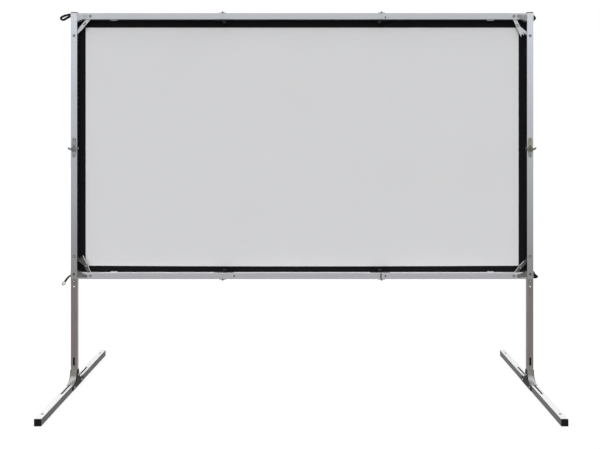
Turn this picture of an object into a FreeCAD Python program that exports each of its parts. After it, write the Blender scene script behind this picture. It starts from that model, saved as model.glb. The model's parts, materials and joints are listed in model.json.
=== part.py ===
import FreeCAD, Part
import math
import os

# A folding outdoor projection screen: a square tube frame that folds at six latched joints,
# fabric snapped on behind it, a knee brace in each corner and two T legs.
# Millimetres. X runs along the screen, Y goes to the back, Z is up and the ground is at zero.
# The frame's tubes are centred on the plane Y = 0.

# Frame
FRAME_W = 2350.0
FRAME_H = 1352.0
FRAME_BOTTOM = 547.5
TUBE = 32.0
TUBE_WALL = 2.0
TUBE_EDGE = 1.5
MIDDLE_BAR = 808.0
SEAM_GAP = 0.6

# Fits
GAP = 0.3
RUN = 0.05
SEAT = 0.3

# Corner brackets, measured from the frame's outer edges
PIVOT_IN = 76.7
PIVOT_R = 5.0
PIVOT_HEAD_R = 7.0
BAR_END_BEYOND_PIVOT = 22.0
CORNER_H = 43.0
CORNER_PLATE = 2.0
CORNER_NOSE_R = 8.0
CORNER_ARM_IN = 11.0
CORNER_BOLT_IN = 25.7
CAP_T = 5.0
CAP_PLUG = 12.0

# Knee braces
BRACE_BAR_BOLT = 22.0
BRACE_UPRIGHT_BOLT = 99.0
BRACE_SPLIT = 53.8
KNEE_BEND = 14.0
LINK_BOLT_R = 4.0
LINK_T = 4.0
LINK_HALF_W = 6.5
CHANNEL_HALF_W = 9.0
CHANNEL_T = 2.0
CHANNEL_WEB_START = 18.0
CHANNEL_L = 111.0
CHANNEL_CLEAR_OF_UPRIGHT = 1.0
FISHTAIL_DEEP = 14.0
KNEE_PIN_R = 3.5
KNEE_HEAD_R = 5.5
KNEE_HEAD_T = 1.5
KNEE_PLAY_BACK = 6.5
KNEE_PLAY_OUT = 1.0
KNEE_PLAY_SIDE = 2.2
LINK_SLOT_SIDE = 0.8
BAR_SLOT_OUTER = 28.0
BAR_SLOT_INNER = 46.0
UPRIGHT_SLOT_TOWARD_BAR = 36.0
UPRIGHT_SLOT_AWAY = 6.0

# Rest pads on the inner faces of the outer bars, where the folded bars lie against the uprights
REST_PAD_IN = 216.0
REST_PAD_L = 33.0
REST_PAD_W = 16.0
REST_PAD_H = 5.0

# Bolts
BOLT_HEAD_R = 7.0
BOLT_HEAD_T = 3.0
BOLT_NUT_T = 2.0

# Fold joints: hinge outside the tube, latch on the opposite face
BAR_LEAF_L = 12.0
UPRIGHT_LEAF_L = 30.0
LEAF_W = 26.0
LEAF_T = 2.5
LEAF_START = 4.8
KNUCKLE_SHARE = 10.0
HINGE_PIN_R = 1.6
BAR_HINGE_RISE = 4.6
BAR_KNUCKLE_R = 4.2
UPRIGHT_HINGE_RISE = 5.0
UPRIGHT_KNUCKLE_R = 3.6
LATCH_T = 4.0
LATCH_L = 58.0
LATCH_W = 23.0
LATCH_TAIL_W = 15.0
LATCH_SHOULDER = 26.0
BAR_LATCH_PIN_BACK = 10.0
UPRIGHT_LATCH_PIN_BACK = 20.0
LATCH_PIN_R = 4.0
KEEPER_T = 6.0
KEEPER_L = 38.0
KEEPER_START = 4.0
WING_HUB_R = 9.0
WING_PROUD = 17.0
EAR_LOW = 8.0
EAR_ROOT = 6.0
UPRIGHT_EAR_H = 10.0
UPRIGHT_EAR_REACH = 27.0
UPRIGHT_EAR_LIFT = 5.0
BAR_EAR_H = 8.0
BAR_EAR_REACH = 15.0
BAR_EAR_LIFT = 1.0
CLAW_W = 10.0
CLAW_T = 4.0

# Fabric and its snaps
FABRIC_T = 0.6
FABRIC_BEHIND = 2.6
FABRIC_INSET = 7.0
PANEL_SIDE_IN = 68.0
PANEL_BOTTOM_IN = 64.0
PANEL_TOP_IN = 71.0
HINGE_NOTCH_H = 48.0
SNAP_R = 6.0
SNAP_CAP_T = 1.2
SNAP_STUD_R = 4.5
SNAP_PITCH = 160.0
SNAP_CLEAR_OF_CORNER = 150.0
SNAP_CLEAR_OF_SEAM = 70.0

# Legs
FOOT_L = 1357.0
FOOT_CAP_T = 4.0
FOOT_CAP_PLUG = 20.0
FOOT_SLOT_L = 180.0
SLOT_W = 9.0
STAKE_FROM_POST = 600.0
STAKE_R = 4.5
POST_SLOT_BELOW_BOLT = 28.5
POST_SLOT_ABOVE_BOLT = 52.5
CHEEK_T = 3.0
CHEEK_HALF_L = 112.0
CHEEK_LOW = 3.0
CHEEK_EDGE = 25.0
CHEEK_RIVET_R = 4.0
CHEEK_RIVET_HEAD_R = 6.0
CHEEK_RIVET_HEAD_T = 1.5
CHEEK_RIVETS = ((-78.0, 15.0), (0.0, 60.0), (78.0, 15.0))
STRAP_T = 3.5
STRAP_W = 30.0
STRAP_BEND_R = 50.0
STRAP_TAB = 40.0
STRAP_BOLT_IN = 12.0
STRAP_NUT_T = 5.0
SPIGOT_WALL = 2.5
SPIGOT_UP = 85.0
SPIGOT_DOWN = 130.0
CLAMP_BELOW = 10.0
LEG_HOLE_PITCH = 28.0
LEG_HOLE_R = 5.5
NUT_T = 6.0
NUT_R = 9.2
NUT_NOTCHES = 10
NUT_NOTCH_R = 1.4

# Guy straps; their outlines are given in the corner's axes, from the upright's outer face
GUY_W = 18.0
GUY_EYE_R = 4.5
GUY_EYE_AT = (-37.0, -22.5)
GUY_LOOP = (
    (0, 0), (-23, 4), (-43, 10), (-52, 18), (-55, 27), (-51, 36), (-40, 38), (-22, 30), (-11, 22), (0, 19),
)
GUY_LOOP_EYE = ((-45, 24), (-39, 20), (-28, 19), (-26, 22), (-32, 28), (-43, 30))
GUY_TAIL = (
    (0, 28), (-14, 19), (-25, 5), (-32, -8), (-50, -30), (-51, -37), (-46, -40), (-38, -36), (-25, -17),
    (-20, -4), (-8, 9), (0, 12),
)
GUY_UPPER_TAB = ((0, 4), (-9, 13), (-16, 23), (-13, 32), (-5, 40), (0, 40))
GUY_LOWER_TAB = ((0, 41), (-6, 38), (-10, 28), (-27, 12), (-17, 3), (-4, 7), (0, 11))

HALF_TUBE = TUBE / 2
FRAME_TOP = FRAME_BOTTOM + FRAME_H
FOLD_Z = FRAME_BOTTOM + FRAME_H / 2
BAR_SEAM_X = MIDDLE_BAR / 2
UPRIGHT_X = FRAME_W / 2 - HALF_TUBE
FABRIC_FRONT = HALF_TUBE + FABRIC_BEHIND
FABRIC_BACK = FABRIC_FRONT + FABRIC_T
STRAP_BEND_Y = HALF_TUBE + STRAP_T + STRAP_BEND_R
STRAP_BEND_Z = TUBE + STRAP_T + STRAP_BEND_R
STRAP_FOOT_BOLT_Y = STRAP_BEND_Y + STRAP_TAB - STRAP_BOLT_IN
STRAP_POST_BOLT_Z = STRAP_BEND_Z + STRAP_BOLT_IN
X_DIR = FreeCAD.Vector(1, 0, 0)
Y_DIR = FreeCAD.Vector(0, 1, 0)
Z_DIR = FreeCAD.Vector(0, 0, 1)
SIDES = (("left", -1), ("right", 1))
LEVELS = (("bottom", -1), ("top", 1))


class Local:
    """Local axes: outlines lie in u and w, and are raised along v."""

    def __init__(self, origin, u, v, w):
        self.origin = FreeCAD.Vector(*origin)
        self.u = u
        self.v = v
        self.w = w

    def at(self, u, v, w):
        return self.origin + self.u * u + self.v * v + self.w * w

    def prism(self, outline, low, high):
        points = [self.at(u, low, w) for u, w in outline]
        return Part.Face(Part.makePolygon(points + points[:1])).extrude(self.v * (high - low))

    def block(self, u_low, u_high, low, high, w_low, w_high):
        outline = [(u_low, w_low), (u_high, w_low), (u_high, w_high), (u_low, w_high)]
        return self.prism(outline, low, high)

    def disc(self, u, w, radius, low, high):
        return Part.makeCylinder(radius, high - low, self.at(u, low, w), self.v)

    def rod(self, u, v, radius, low, high):
        return Part.makeCylinder(radius, high - low, self.at(u, v, low), self.w)


def joined(first, *others):
    return first.fuse(list(others)).removeSplitter()


def soften(shape, direction, radius):
    """Rounds the straight edges of a shape that run along a direction."""
    edges = []
    for edge in shape.Edges:
        along = edge.tangentAt(edge.FirstParameter).dot(direction)
        if isinstance(edge.Curve, Part.Line) and abs(abs(along) - 1) < 1e-6:
            edges.append(edge)
    return shape.makeFillet(radius, edges)


def square_tube(local, start, end, outside=TUBE, wall=TUBE_WALL):
    """A square tube along v with rounded long edges."""
    half = outside / 2
    outer = soften(local.block(-half, half, start, end, -half, half), local.v, TUBE_EDGE)
    bore = half - wall
    return outer.cut(local.block(-bore, bore, start, end, -bore, bore))


def save(node, *shapes):
    solids = [solid for shape in shapes for solid in shape.Solids]
    body = solids[0] if len(solids) == 1 else Part.makeCompound(solids)
    body.exportStep("parts/" + node + ".step")


def bolt(local, u, w, radius):
    """A bolt through a frame tube along v, with a round head in front and a flat nut behind."""
    head = local.disc(u, w, BOLT_HEAD_R, -HALF_TUBE - BOLT_HEAD_T, -HALF_TUBE)
    shank = local.disc(u, w, radius, -HALF_TUBE, HALF_TUBE)
    nut = local.disc(u, w, BOLT_HEAD_R, HALF_TUBE, HALF_TUBE + BOLT_NUT_T)
    return joined(head, shank, nut)


def corner_axes(side, level):
    """u runs in from the frame's side edge, w runs in from its end edge, and v to the back."""
    end = FRAME_TOP if level > 0 else FRAME_BOTTOM
    return Local((side * FRAME_W / 2, 0, end), X_DIR * -side, Y_DIR, Z_DIR * -level)


def upright_axes(side):
    return Local((side * UPRIGHT_X, 0, 0), X_DIR * -side, Z_DIR, Y_DIR)


def bar_axes(side, level):
    """v runs out along the bar from the frame's middle."""
    z = FRAME_TOP - HALF_TUBE if level > 0 else FRAME_BOTTOM + HALF_TUBE
    return Local((0, 0, z), Z_DIR, X_DIR * side, Y_DIR)


def upright_joint_axes(side):
    """u runs up over the fold, v to the hinge behind the tube, w across the tube."""
    return Local((side * UPRIGHT_X, 0, FOLD_Z), Z_DIR, Y_DIR, X_DIR)


def bar_joint_axes(side, level):
    """u runs out over the fold, v to the hinge outside the frame, w across the tube."""
    z = FRAME_TOP - HALF_TUBE if level > 0 else FRAME_BOTTOM + HALF_TUBE
    return Local((side * BAR_SEAM_X, 0, z), X_DIR * side, Z_DIR * level, Y_DIR)


# Where the brace's two bolts sit in the corner's axes, and the line between them
BAR_BOLT = (PIVOT_IN + BRACE_BAR_BOLT, HALF_TUBE)
UPRIGHT_BOLT = (HALF_TUBE, HALF_TUBE + BRACE_UPRIGHT_BOLT)
BRACE_L = math.dist(BAR_BOLT, UPRIGHT_BOLT)
BRACE_DIR = ((UPRIGHT_BOLT[0] - BAR_BOLT[0]) / BRACE_L, (UPRIGHT_BOLT[1] - BAR_BOLT[1]) / BRACE_L)
CHANNEL_HALF_T = LINK_T / 2 + GAP + CHANNEL_T


def knee_place(bend):
    """Where a knee pin sits in the corner's axes, for its offset from the line between the bolts."""
    u = BAR_BOLT[0] + BRACE_DIR[0] * BRACE_SPLIT + BRACE_DIR[1] * bend
    w = BAR_BOLT[1] + BRACE_DIR[1] * BRACE_SPLIT - BRACE_DIR[0] * bend
    return u, w


def link_axes(corner, start, end):
    """u runs between two places in the corner's axes, w to the middle of the screen."""
    length = math.dist(start, end)
    in_u = (end[0] - start[0]) / length
    in_w = (end[1] - start[1]) / length
    along = corner.u * in_u + corner.w * in_w
    across = corner.u * in_w - corner.w * in_u
    return Local(corner.at(start[0], 0, start[1]), along, Y_DIR, across)


def brace_channel(corner, knee):
    """The channel that turns on the bar; its fishtail end lies over the flat link."""
    channel_axes = link_axes(corner, BAR_BOLT, knee)
    knee_l = math.dist(BAR_BOLT, knee)
    toward_upright = (BAR_BOLT[0] - knee[0]) / knee_l
    edge_reach = (knee[1] - BAR_BOLT[1]) / knee_l * CHANNEL_HALF_W
    room = BAR_BOLT[0] - TUBE - CHANNEL_CLEAR_OF_UPRIGHT - edge_reach
    tail = min(CHANNEL_L, room / toward_upright)
    far = knee_l + KNEE_PLAY_OUT
    near = knee_l - KNEE_PLAY_BACK
    whole = (-CHANNEL_HALF_T, CHANNEL_HALF_T)

    solids = [channel_axes.block(
        CHANNEL_WEB_START, tail, *whole, CHANNEL_HALF_W - CHANNEL_T, CHANNEL_HALF_W,
    )]
    for low in (-CHANNEL_HALF_T, CHANNEL_HALF_T - CHANNEL_T):
        high = low + CHANNEL_T
        solids.append(channel_axes.block(0, tail, low, high, -CHANNEL_HALF_W, CHANNEL_HALF_W))
        solids.append(channel_axes.disc(0, 0, CHANNEL_HALF_W, low, high))
    channel = joined(*solids)
    notch = [(tail, -CHANNEL_HALF_W), (tail, CHANNEL_HALF_W), (tail - FISHTAIL_DEEP, 0)]
    channel = channel.cut(channel_axes.prism(notch, *whole))
    channel = channel.cut(channel_axes.disc(0, 0, LINK_BOLT_R + RUN, *whole))
    play = KNEE_PIN_R + KNEE_PLAY_SIDE
    channel = channel.cut(channel_axes.block(near, far, *whole, -play, play))
    for end in (near, far):
        channel = channel.cut(channel_axes.disc(end, 0, play, *whole))
    return channel


def brace_flat(corner, knee):
    """The flat link that turns on the upright, with the knee pin and its heads."""
    flat_axes = link_axes(corner, knee, UPRIGHT_BOLT)
    length = math.dist(knee, UPRIGHT_BOLT)
    faces = (-LINK_T / 2, LINK_T / 2)
    flat = joined(
        flat_axes.block(0, length, *faces, -LINK_HALF_W, LINK_HALF_W),
        flat_axes.disc(0, 0, LINK_HALF_W, *faces),
        flat_axes.disc(length, 0, LINK_HALF_W, *faces),
    )
    flat = flat.cut(flat_axes.disc(length, 0, LINK_BOLT_R + RUN, *faces))
    pin_end = CHANNEL_HALF_T + GAP
    return joined(
        flat,
        flat_axes.disc(0, 0, KNEE_PIN_R, -pin_end, pin_end),
        flat_axes.disc(0, 0, KNEE_HEAD_R, -pin_end - KNEE_HEAD_T, -pin_end),
        flat_axes.disc(0, 0, KNEE_HEAD_R, pin_end, pin_end + KNEE_HEAD_T),
    )


def corner_bracket(corner, has_cap):
    """Front and rear plates on the upright's end with an arm to the bar's pivot, and their rivets."""
    inner = HALF_TUBE + GAP
    outer = inner + CORNER_PLATE
    nose_near = HALF_TUBE - CORNER_NOSE_R
    nose_far = HALF_TUBE + CORNER_NOSE_R
    outline = [
        (0, 0), (TUBE, 0), (TUBE, CORNER_ARM_IN), (PIVOT_IN, nose_near), (PIVOT_IN, nose_far),
        (TUBE, CORNER_H), (0, CORNER_H),
    ]
    pieces = []
    for face in (-1, 1):
        plate = joined(
            corner.prism(outline, face * inner, face * outer),
            corner.block(0, TUBE, face * HALF_TUBE, face * inner, 0, CORNER_H),
            corner.disc(PIVOT_IN, HALF_TUBE, CORNER_NOSE_R, min(face * inner, face * outer),
                        max(face * inner, face * outer)),
        )
        plate = plate.cut(corner.disc(PIVOT_IN, HALF_TUBE, PIVOT_R + RUN, -outer, outer))
        plate = plate.cut(corner.disc(HALF_TUBE, CORNER_BOLT_IN, LINK_BOLT_R + RUN, -outer, outer))
        pieces.append(plate)
    pivot = joined(
        corner.disc(PIVOT_IN, HALF_TUBE, PIVOT_R, -outer, outer),
        corner.disc(PIVOT_IN, HALF_TUBE, PIVOT_HEAD_R, -outer - KNEE_HEAD_T, -outer),
    )
    fixing = joined(
        corner.disc(HALF_TUBE, CORNER_BOLT_IN, LINK_BOLT_R, -outer, outer),
        corner.disc(HALF_TUBE, CORNER_BOLT_IN, BOLT_HEAD_R, -outer - KNEE_HEAD_T, -outer),
    )
    pieces += [pivot, fixing, bolt(corner, *UPRIGHT_BOLT, LINK_BOLT_R)]
    if has_cap:
        plug = TUBE_WALL + SEAT
        lid = soften(corner.block(0, TUBE, -HALF_TUBE, HALF_TUBE, -CAP_T, 0), corner.w, TUBE_EDGE)
        pieces.append(joined(
            lid, corner.block(plug, TUBE - plug, plug - HALF_TUBE, HALF_TUBE - plug, 0, CAP_PLUG),
        ))
    return pieces


def upright_tube(side, level, corner):
    """Half an upright, with the slot that its brace link swings in."""
    if level > 0:
        start, end = FOLD_Z + SEAM_GAP / 2, FRAME_TOP
    else:
        start, end = FRAME_BOTTOM, FOLD_Z - SEAM_GAP / 2
    tube = square_tube(upright_axes(side), start, end)
    slot_half = LINK_T / 2 + LINK_SLOT_SIDE
    tube = tube.cut(corner.block(
        TUBE - 2 * TUBE_WALL, TUBE, -slot_half, slot_half,
        UPRIGHT_BOLT[1] - UPRIGHT_SLOT_TOWARD_BAR, UPRIGHT_BOLT[1] + UPRIGHT_SLOT_AWAY,
    ))
    for u, w in (UPRIGHT_BOLT, (HALF_TUBE, CORNER_BOLT_IN)):
        tube = tube.cut(corner.disc(u, w, LINK_BOLT_R + RUN, -HALF_TUBE, HALF_TUBE))
    return tube


def outer_bar_tube(side, level, corner):
    """The bar between a corner pivot and a fold, with the slot that its brace channel swings in."""
    end = FRAME_W / 2 - PIVOT_IN + BAR_END_BEYOND_PIVOT
    tube = square_tube(bar_axes(side, level), BAR_SEAM_X + SEAM_GAP / 2, end)
    slot_half = CHANNEL_HALF_T + LINK_SLOT_SIDE
    tube = tube.cut(corner.block(
        BAR_BOLT[0] - BAR_SLOT_OUTER, BAR_BOLT[0] + BAR_SLOT_INNER, -slot_half, slot_half,
        TUBE - 2 * TUBE_WALL, TUBE,
    ))
    tube = tube.cut(corner.disc(PIVOT_IN, HALF_TUBE, PIVOT_R + RUN, -HALF_TUBE, HALF_TUBE))
    return tube.cut(corner.disc(*BAR_BOLT, LINK_BOLT_R + RUN, -HALF_TUBE, HALF_TUBE))


def rest_pad(corner):
    half_l = REST_PAD_L / 2
    half_w = REST_PAD_W / 2
    return corner.block(
        REST_PAD_IN - half_l, REST_PAD_IN + half_l, -half_w, half_w, TUBE, TUBE + REST_PAD_H,
    )


def spread(start, end):
    """Snap places between two ends, evenly spaced at about the snap pitch."""
    count = max(2, round(abs(end - start) / SNAP_PITCH) + 1)
    step = (end - start) / (count - 1)
    return [start + step * index for index in range(count)]


def bar_snaps():
    """X of the snaps on the three bars of one level."""
    outer_end = FRAME_W / 2 - SNAP_CLEAR_OF_CORNER
    outer = spread(BAR_SEAM_X + SNAP_CLEAR_OF_SEAM, outer_end)
    middle = spread(-BAR_SEAM_X + SNAP_CLEAR_OF_SEAM, BAR_SEAM_X - SNAP_CLEAR_OF_SEAM)
    return {"left": [-x for x in outer], "middle": middle, "right": outer}


def upright_snaps(level):
    """Heights of the snaps on half an upright."""
    near = FOLD_Z + level * SNAP_CLEAR_OF_SEAM
    far = FOLD_Z + level * (FRAME_H / 2 - SNAP_CLEAR_OF_CORNER)
    return spread(near, far)


def stud(x, z):
    return Part.makeCylinder(SNAP_STUD_R, FABRIC_BEHIND - GAP, FreeCAD.Vector(x, HALF_TUBE, z), Y_DIR)


def fold_joint(local, rise, knuckle_r, leaf_l, pin_back, ear_h, ear_reach, ear_lift):
    """Hinge leaves, latch base, wing and keeper over one seam; the base side is at negative u."""
    axis_v = HALF_TUBE + rise
    leaf_half = LEAF_W / 2
    share = KNUCKLE_SHARE / 2
    pin_hole = local.rod(0, axis_v, HINGE_PIN_R + RUN, -leaf_half, leaf_half)

    base_leaf = joined(
        local.block(-LEAF_START - leaf_l, -LEAF_START, HALF_TUBE, HALF_TUBE + LEAF_T, -leaf_half, leaf_half),
        local.block(-LEAF_START, -SEAM_GAP / 2, HALF_TUBE, axis_v, -share, share),
        local.rod(0, axis_v, knuckle_r, -share, share),
    ).cut(pin_hole)
    pin = local.rod(0, axis_v, HINGE_PIN_R, -leaf_half, leaf_half)
    keeper_leaf = local.block(
        LEAF_START, LEAF_START + leaf_l, HALF_TUBE, HALF_TUBE + LEAF_T, -leaf_half, leaf_half,
    )
    for low, high in ((-leaf_half, -share - GAP), (share + GAP, leaf_half)):
        keeper_leaf = joined(
            keeper_leaf,
            local.block(SEAM_GAP / 2, LEAF_START, HALF_TUBE, axis_v, low, high),
            local.rod(0, axis_v, knuckle_r, low, high),
        )
    keeper_leaf = keeper_leaf.cut(pin_hole)

    base_top = -HALF_TUBE - LATCH_T
    wing_top = -HALF_TUBE - WING_PROUD
    wide = LATCH_W / 2
    narrow = LATCH_TAIL_W / 2
    base_outline = [
        (-SEAM_GAP, -wide), (-SEAM_GAP, wide), (-LATCH_SHOULDER, wide),
        (-LATCH_L, narrow), (-LATCH_L, -narrow), (-LATCH_SHOULDER, -wide),
    ]
    base = joined(
        local.prism(base_outline, base_top, -HALF_TUBE),
        local.disc(-pin_back, 0, LATCH_PIN_R, wing_top, base_top),
    )
    keeper_end = KEEPER_START + KEEPER_L
    keeper_outline = [
        (KEEPER_START, -wide), (KEEPER_START, wide), (keeper_end, narrow), (keeper_end, -narrow),
    ]
    keeper = local.prism(keeper_outline, -HALF_TUBE - KEEPER_T, -HALF_TUBE)

    wing_low = base_top - GAP
    reach = pin_back + KEEPER_START - GAP
    hub = local.disc(-pin_back, 0, WING_HUB_R, wing_top, wing_low)
    claw = local.block(-pin_back, KEEPER_START, wing_low - CLAW_T, wing_low, -CLAW_W / 2, CLAW_W / 2)
    claw = claw.common(local.disc(-pin_back, 0, reach, wing_low - CLAW_T, wing_low))
    ears = []
    for across in (-1, 1):
        ear_outline = [
            (-pin_back - ear_h / 2, across * EAR_ROOT),
            (-pin_back + ear_h / 2, across * EAR_ROOT),
            (-pin_back + ear_lift + ear_h, across * ear_reach),
            (-pin_back + ear_lift, across * ear_reach),
        ]
        ears.append(local.prism(ear_outline, wing_top, -HALF_TUBE - EAR_LOW))
    wing = joined(hub, claw, *ears)
    wing = wing.cut(local.disc(-pin_back, 0, LATCH_PIN_R + RUN, wing_top, wing_low))
    return {"fold_base": [base_leaf, pin, base], "fold_keeper": [keeper_leaf, keeper], "latch_wing": [wing]}


def fabric_box(x_low, x_high, z_low, z_high):
    corner = FreeCAD.Vector(x_low, FABRIC_FRONT, z_low)
    return Part.makeBox(x_high - x_low, FABRIC_T, z_high - z_low, corner)


def fabric_half(level):
    """Half of the screen: a white panel and its dark border, split at the frame's fold."""
    half_w = FRAME_W / 2 - FABRIC_INSET
    panel_half_w = FRAME_W / 2 - PANEL_SIDE_IN
    if level > 0:
        z_low, z_high = FOLD_Z + SEAM_GAP / 2, FRAME_TOP - FABRIC_INSET
        panel = fabric_box(-panel_half_w, panel_half_w, z_low, FRAME_TOP - PANEL_TOP_IN)
    else:
        z_low, z_high = FRAME_BOTTOM + FABRIC_INSET, FOLD_Z - SEAM_GAP / 2
        panel = fabric_box(-panel_half_w, panel_half_w, FRAME_BOTTOM + PANEL_BOTTOM_IN, z_high)
    border = fabric_box(-half_w, half_w, z_low, z_high).cut(panel)
    caps = []
    for side in (-1, 1):
        notch_in = UPRIGHT_X - LEAF_W / 2 - GAP
        notch_x = sorted((side * notch_in, side * FRAME_W))
        border = border.cut(fabric_box(*notch_x, FOLD_Z - HINGE_NOTCH_H, FOLD_Z + HINGE_NOTCH_H))
        caps += [(side * UPRIGHT_X, z) for z in upright_snaps(level)]
    bar_z = FOLD_Z + level * (FRAME_H / 2 - HALF_TUBE)
    caps += [(x, bar_z) for places in bar_snaps().values() for x in places]
    caps = [Part.makeCylinder(SNAP_R, SNAP_CAP_T, FreeCAD.Vector(x, FABRIC_BACK, z), Y_DIR) for x, z in caps]
    return panel, [border] + caps


def guy_strap(side, level):
    """A tab of webbing on the upright's outer face near its end; the left ones hold a guy line."""
    corner = corner_axes(side, level)
    half = GUY_W / 2
    if side < 0 and level > 0:
        return corner.prism(GUY_LOOP, -half, half).cut(corner.prism(GUY_LOOP_EYE, -half, half))
    if side < 0:
        return corner.prism(GUY_TAIL, -half, half).cut(corner.disc(*GUY_EYE_AT, GUY_EYE_R, -half, half))
    return corner.prism(GUY_UPPER_TAB if level > 0 else GUY_LOWER_TAB, -half, half)


def leg_strap(profile, way):
    """A strap that bends from the post's face to the foot's top, with its bolt through the foot's slot."""
    half_w = STRAP_W / 2
    bend_y = way * STRAP_BEND_Y
    corner = sorted((way * HALF_TUBE, bend_y))
    post_tab = sorted((way * HALF_TUBE, way * (HALF_TUBE + STRAP_T)))
    foot_tab = sorted((bend_y, bend_y + way * STRAP_TAB))
    bend = profile.disc(bend_y, STRAP_BEND_Z, STRAP_BEND_R + STRAP_T, -half_w, half_w)
    bend = bend.common(profile.block(*corner, -half_w, half_w, TUBE, STRAP_BEND_Z))
    strap = joined(
        bend.cut(profile.disc(bend_y, STRAP_BEND_Z, STRAP_BEND_R, -half_w, half_w)),
        profile.block(*post_tab, -half_w, half_w, STRAP_BEND_Z, STRAP_POST_BOLT_Z + STRAP_BOLT_IN),
        profile.block(*foot_tab, -half_w, half_w, TUBE, TUBE + STRAP_T),
    )
    foot_top = Local((profile.origin.x, way * STRAP_FOOT_BOLT_Y, TUBE), X_DIR, Z_DIR, Y_DIR)
    wall_under = -TUBE_WALL
    strap_bolt = joined(
        foot_top.disc(0, 0, BOLT_HEAD_R, STRAP_T, STRAP_T + BOLT_HEAD_T),
        foot_top.disc(0, 0, LINK_BOLT_R, wall_under, STRAP_T),
        foot_top.disc(0, 0, BOLT_HEAD_R, wall_under - STRAP_NUT_T, wall_under),
    )
    strap = strap.cut(foot_top.disc(0, 0, LINK_BOLT_R + RUN, 0, STRAP_T))
    return strap, strap_bolt


def leg_cheek(profile, face):
    """A side plate over the joint of post and foot, hollowed at both sides like the straps."""
    faces = sorted((face * HALF_TUBE, face * (HALF_TUBE + CHEEK_T)))
    outline = [
        (-CHEEK_HALF_L, CHEEK_LOW), (CHEEK_HALF_L, CHEEK_LOW), (CHEEK_HALF_L, CHEEK_EDGE),
        (STRAP_BEND_Y, TUBE), (STRAP_BEND_Y, STRAP_BEND_Z), (-STRAP_BEND_Y, STRAP_BEND_Z),
        (-STRAP_BEND_Y, TUBE), (-CHEEK_HALF_L, CHEEK_EDGE),
    ]
    cheek = profile.prism(outline, *faces)
    for way in (-1, 1):
        hollow_r = STRAP_BEND_R + STRAP_T
        cheek = cheek.cut(profile.disc(way * STRAP_BEND_Y, STRAP_BEND_Z, hollow_r, *faces))
    for y, z in CHEEK_RIVETS:
        cheek = cheek.cut(profile.disc(y, z, CHEEK_RIVET_R + RUN, *faces))
    return cheek


def cheek_rivet(profile, y, z):
    outside = HALF_TUBE + CHEEK_T
    return joined(
        profile.disc(y, z, CHEEK_RIVET_R, -outside, outside),
        profile.disc(y, z, CHEEK_RIVET_HEAD_R, outside, outside + CHEEK_RIVET_HEAD_T),
        profile.disc(y, z, CHEEK_RIVET_HEAD_R, -outside - CHEEK_RIVET_HEAD_T, -outside),
    )


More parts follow.
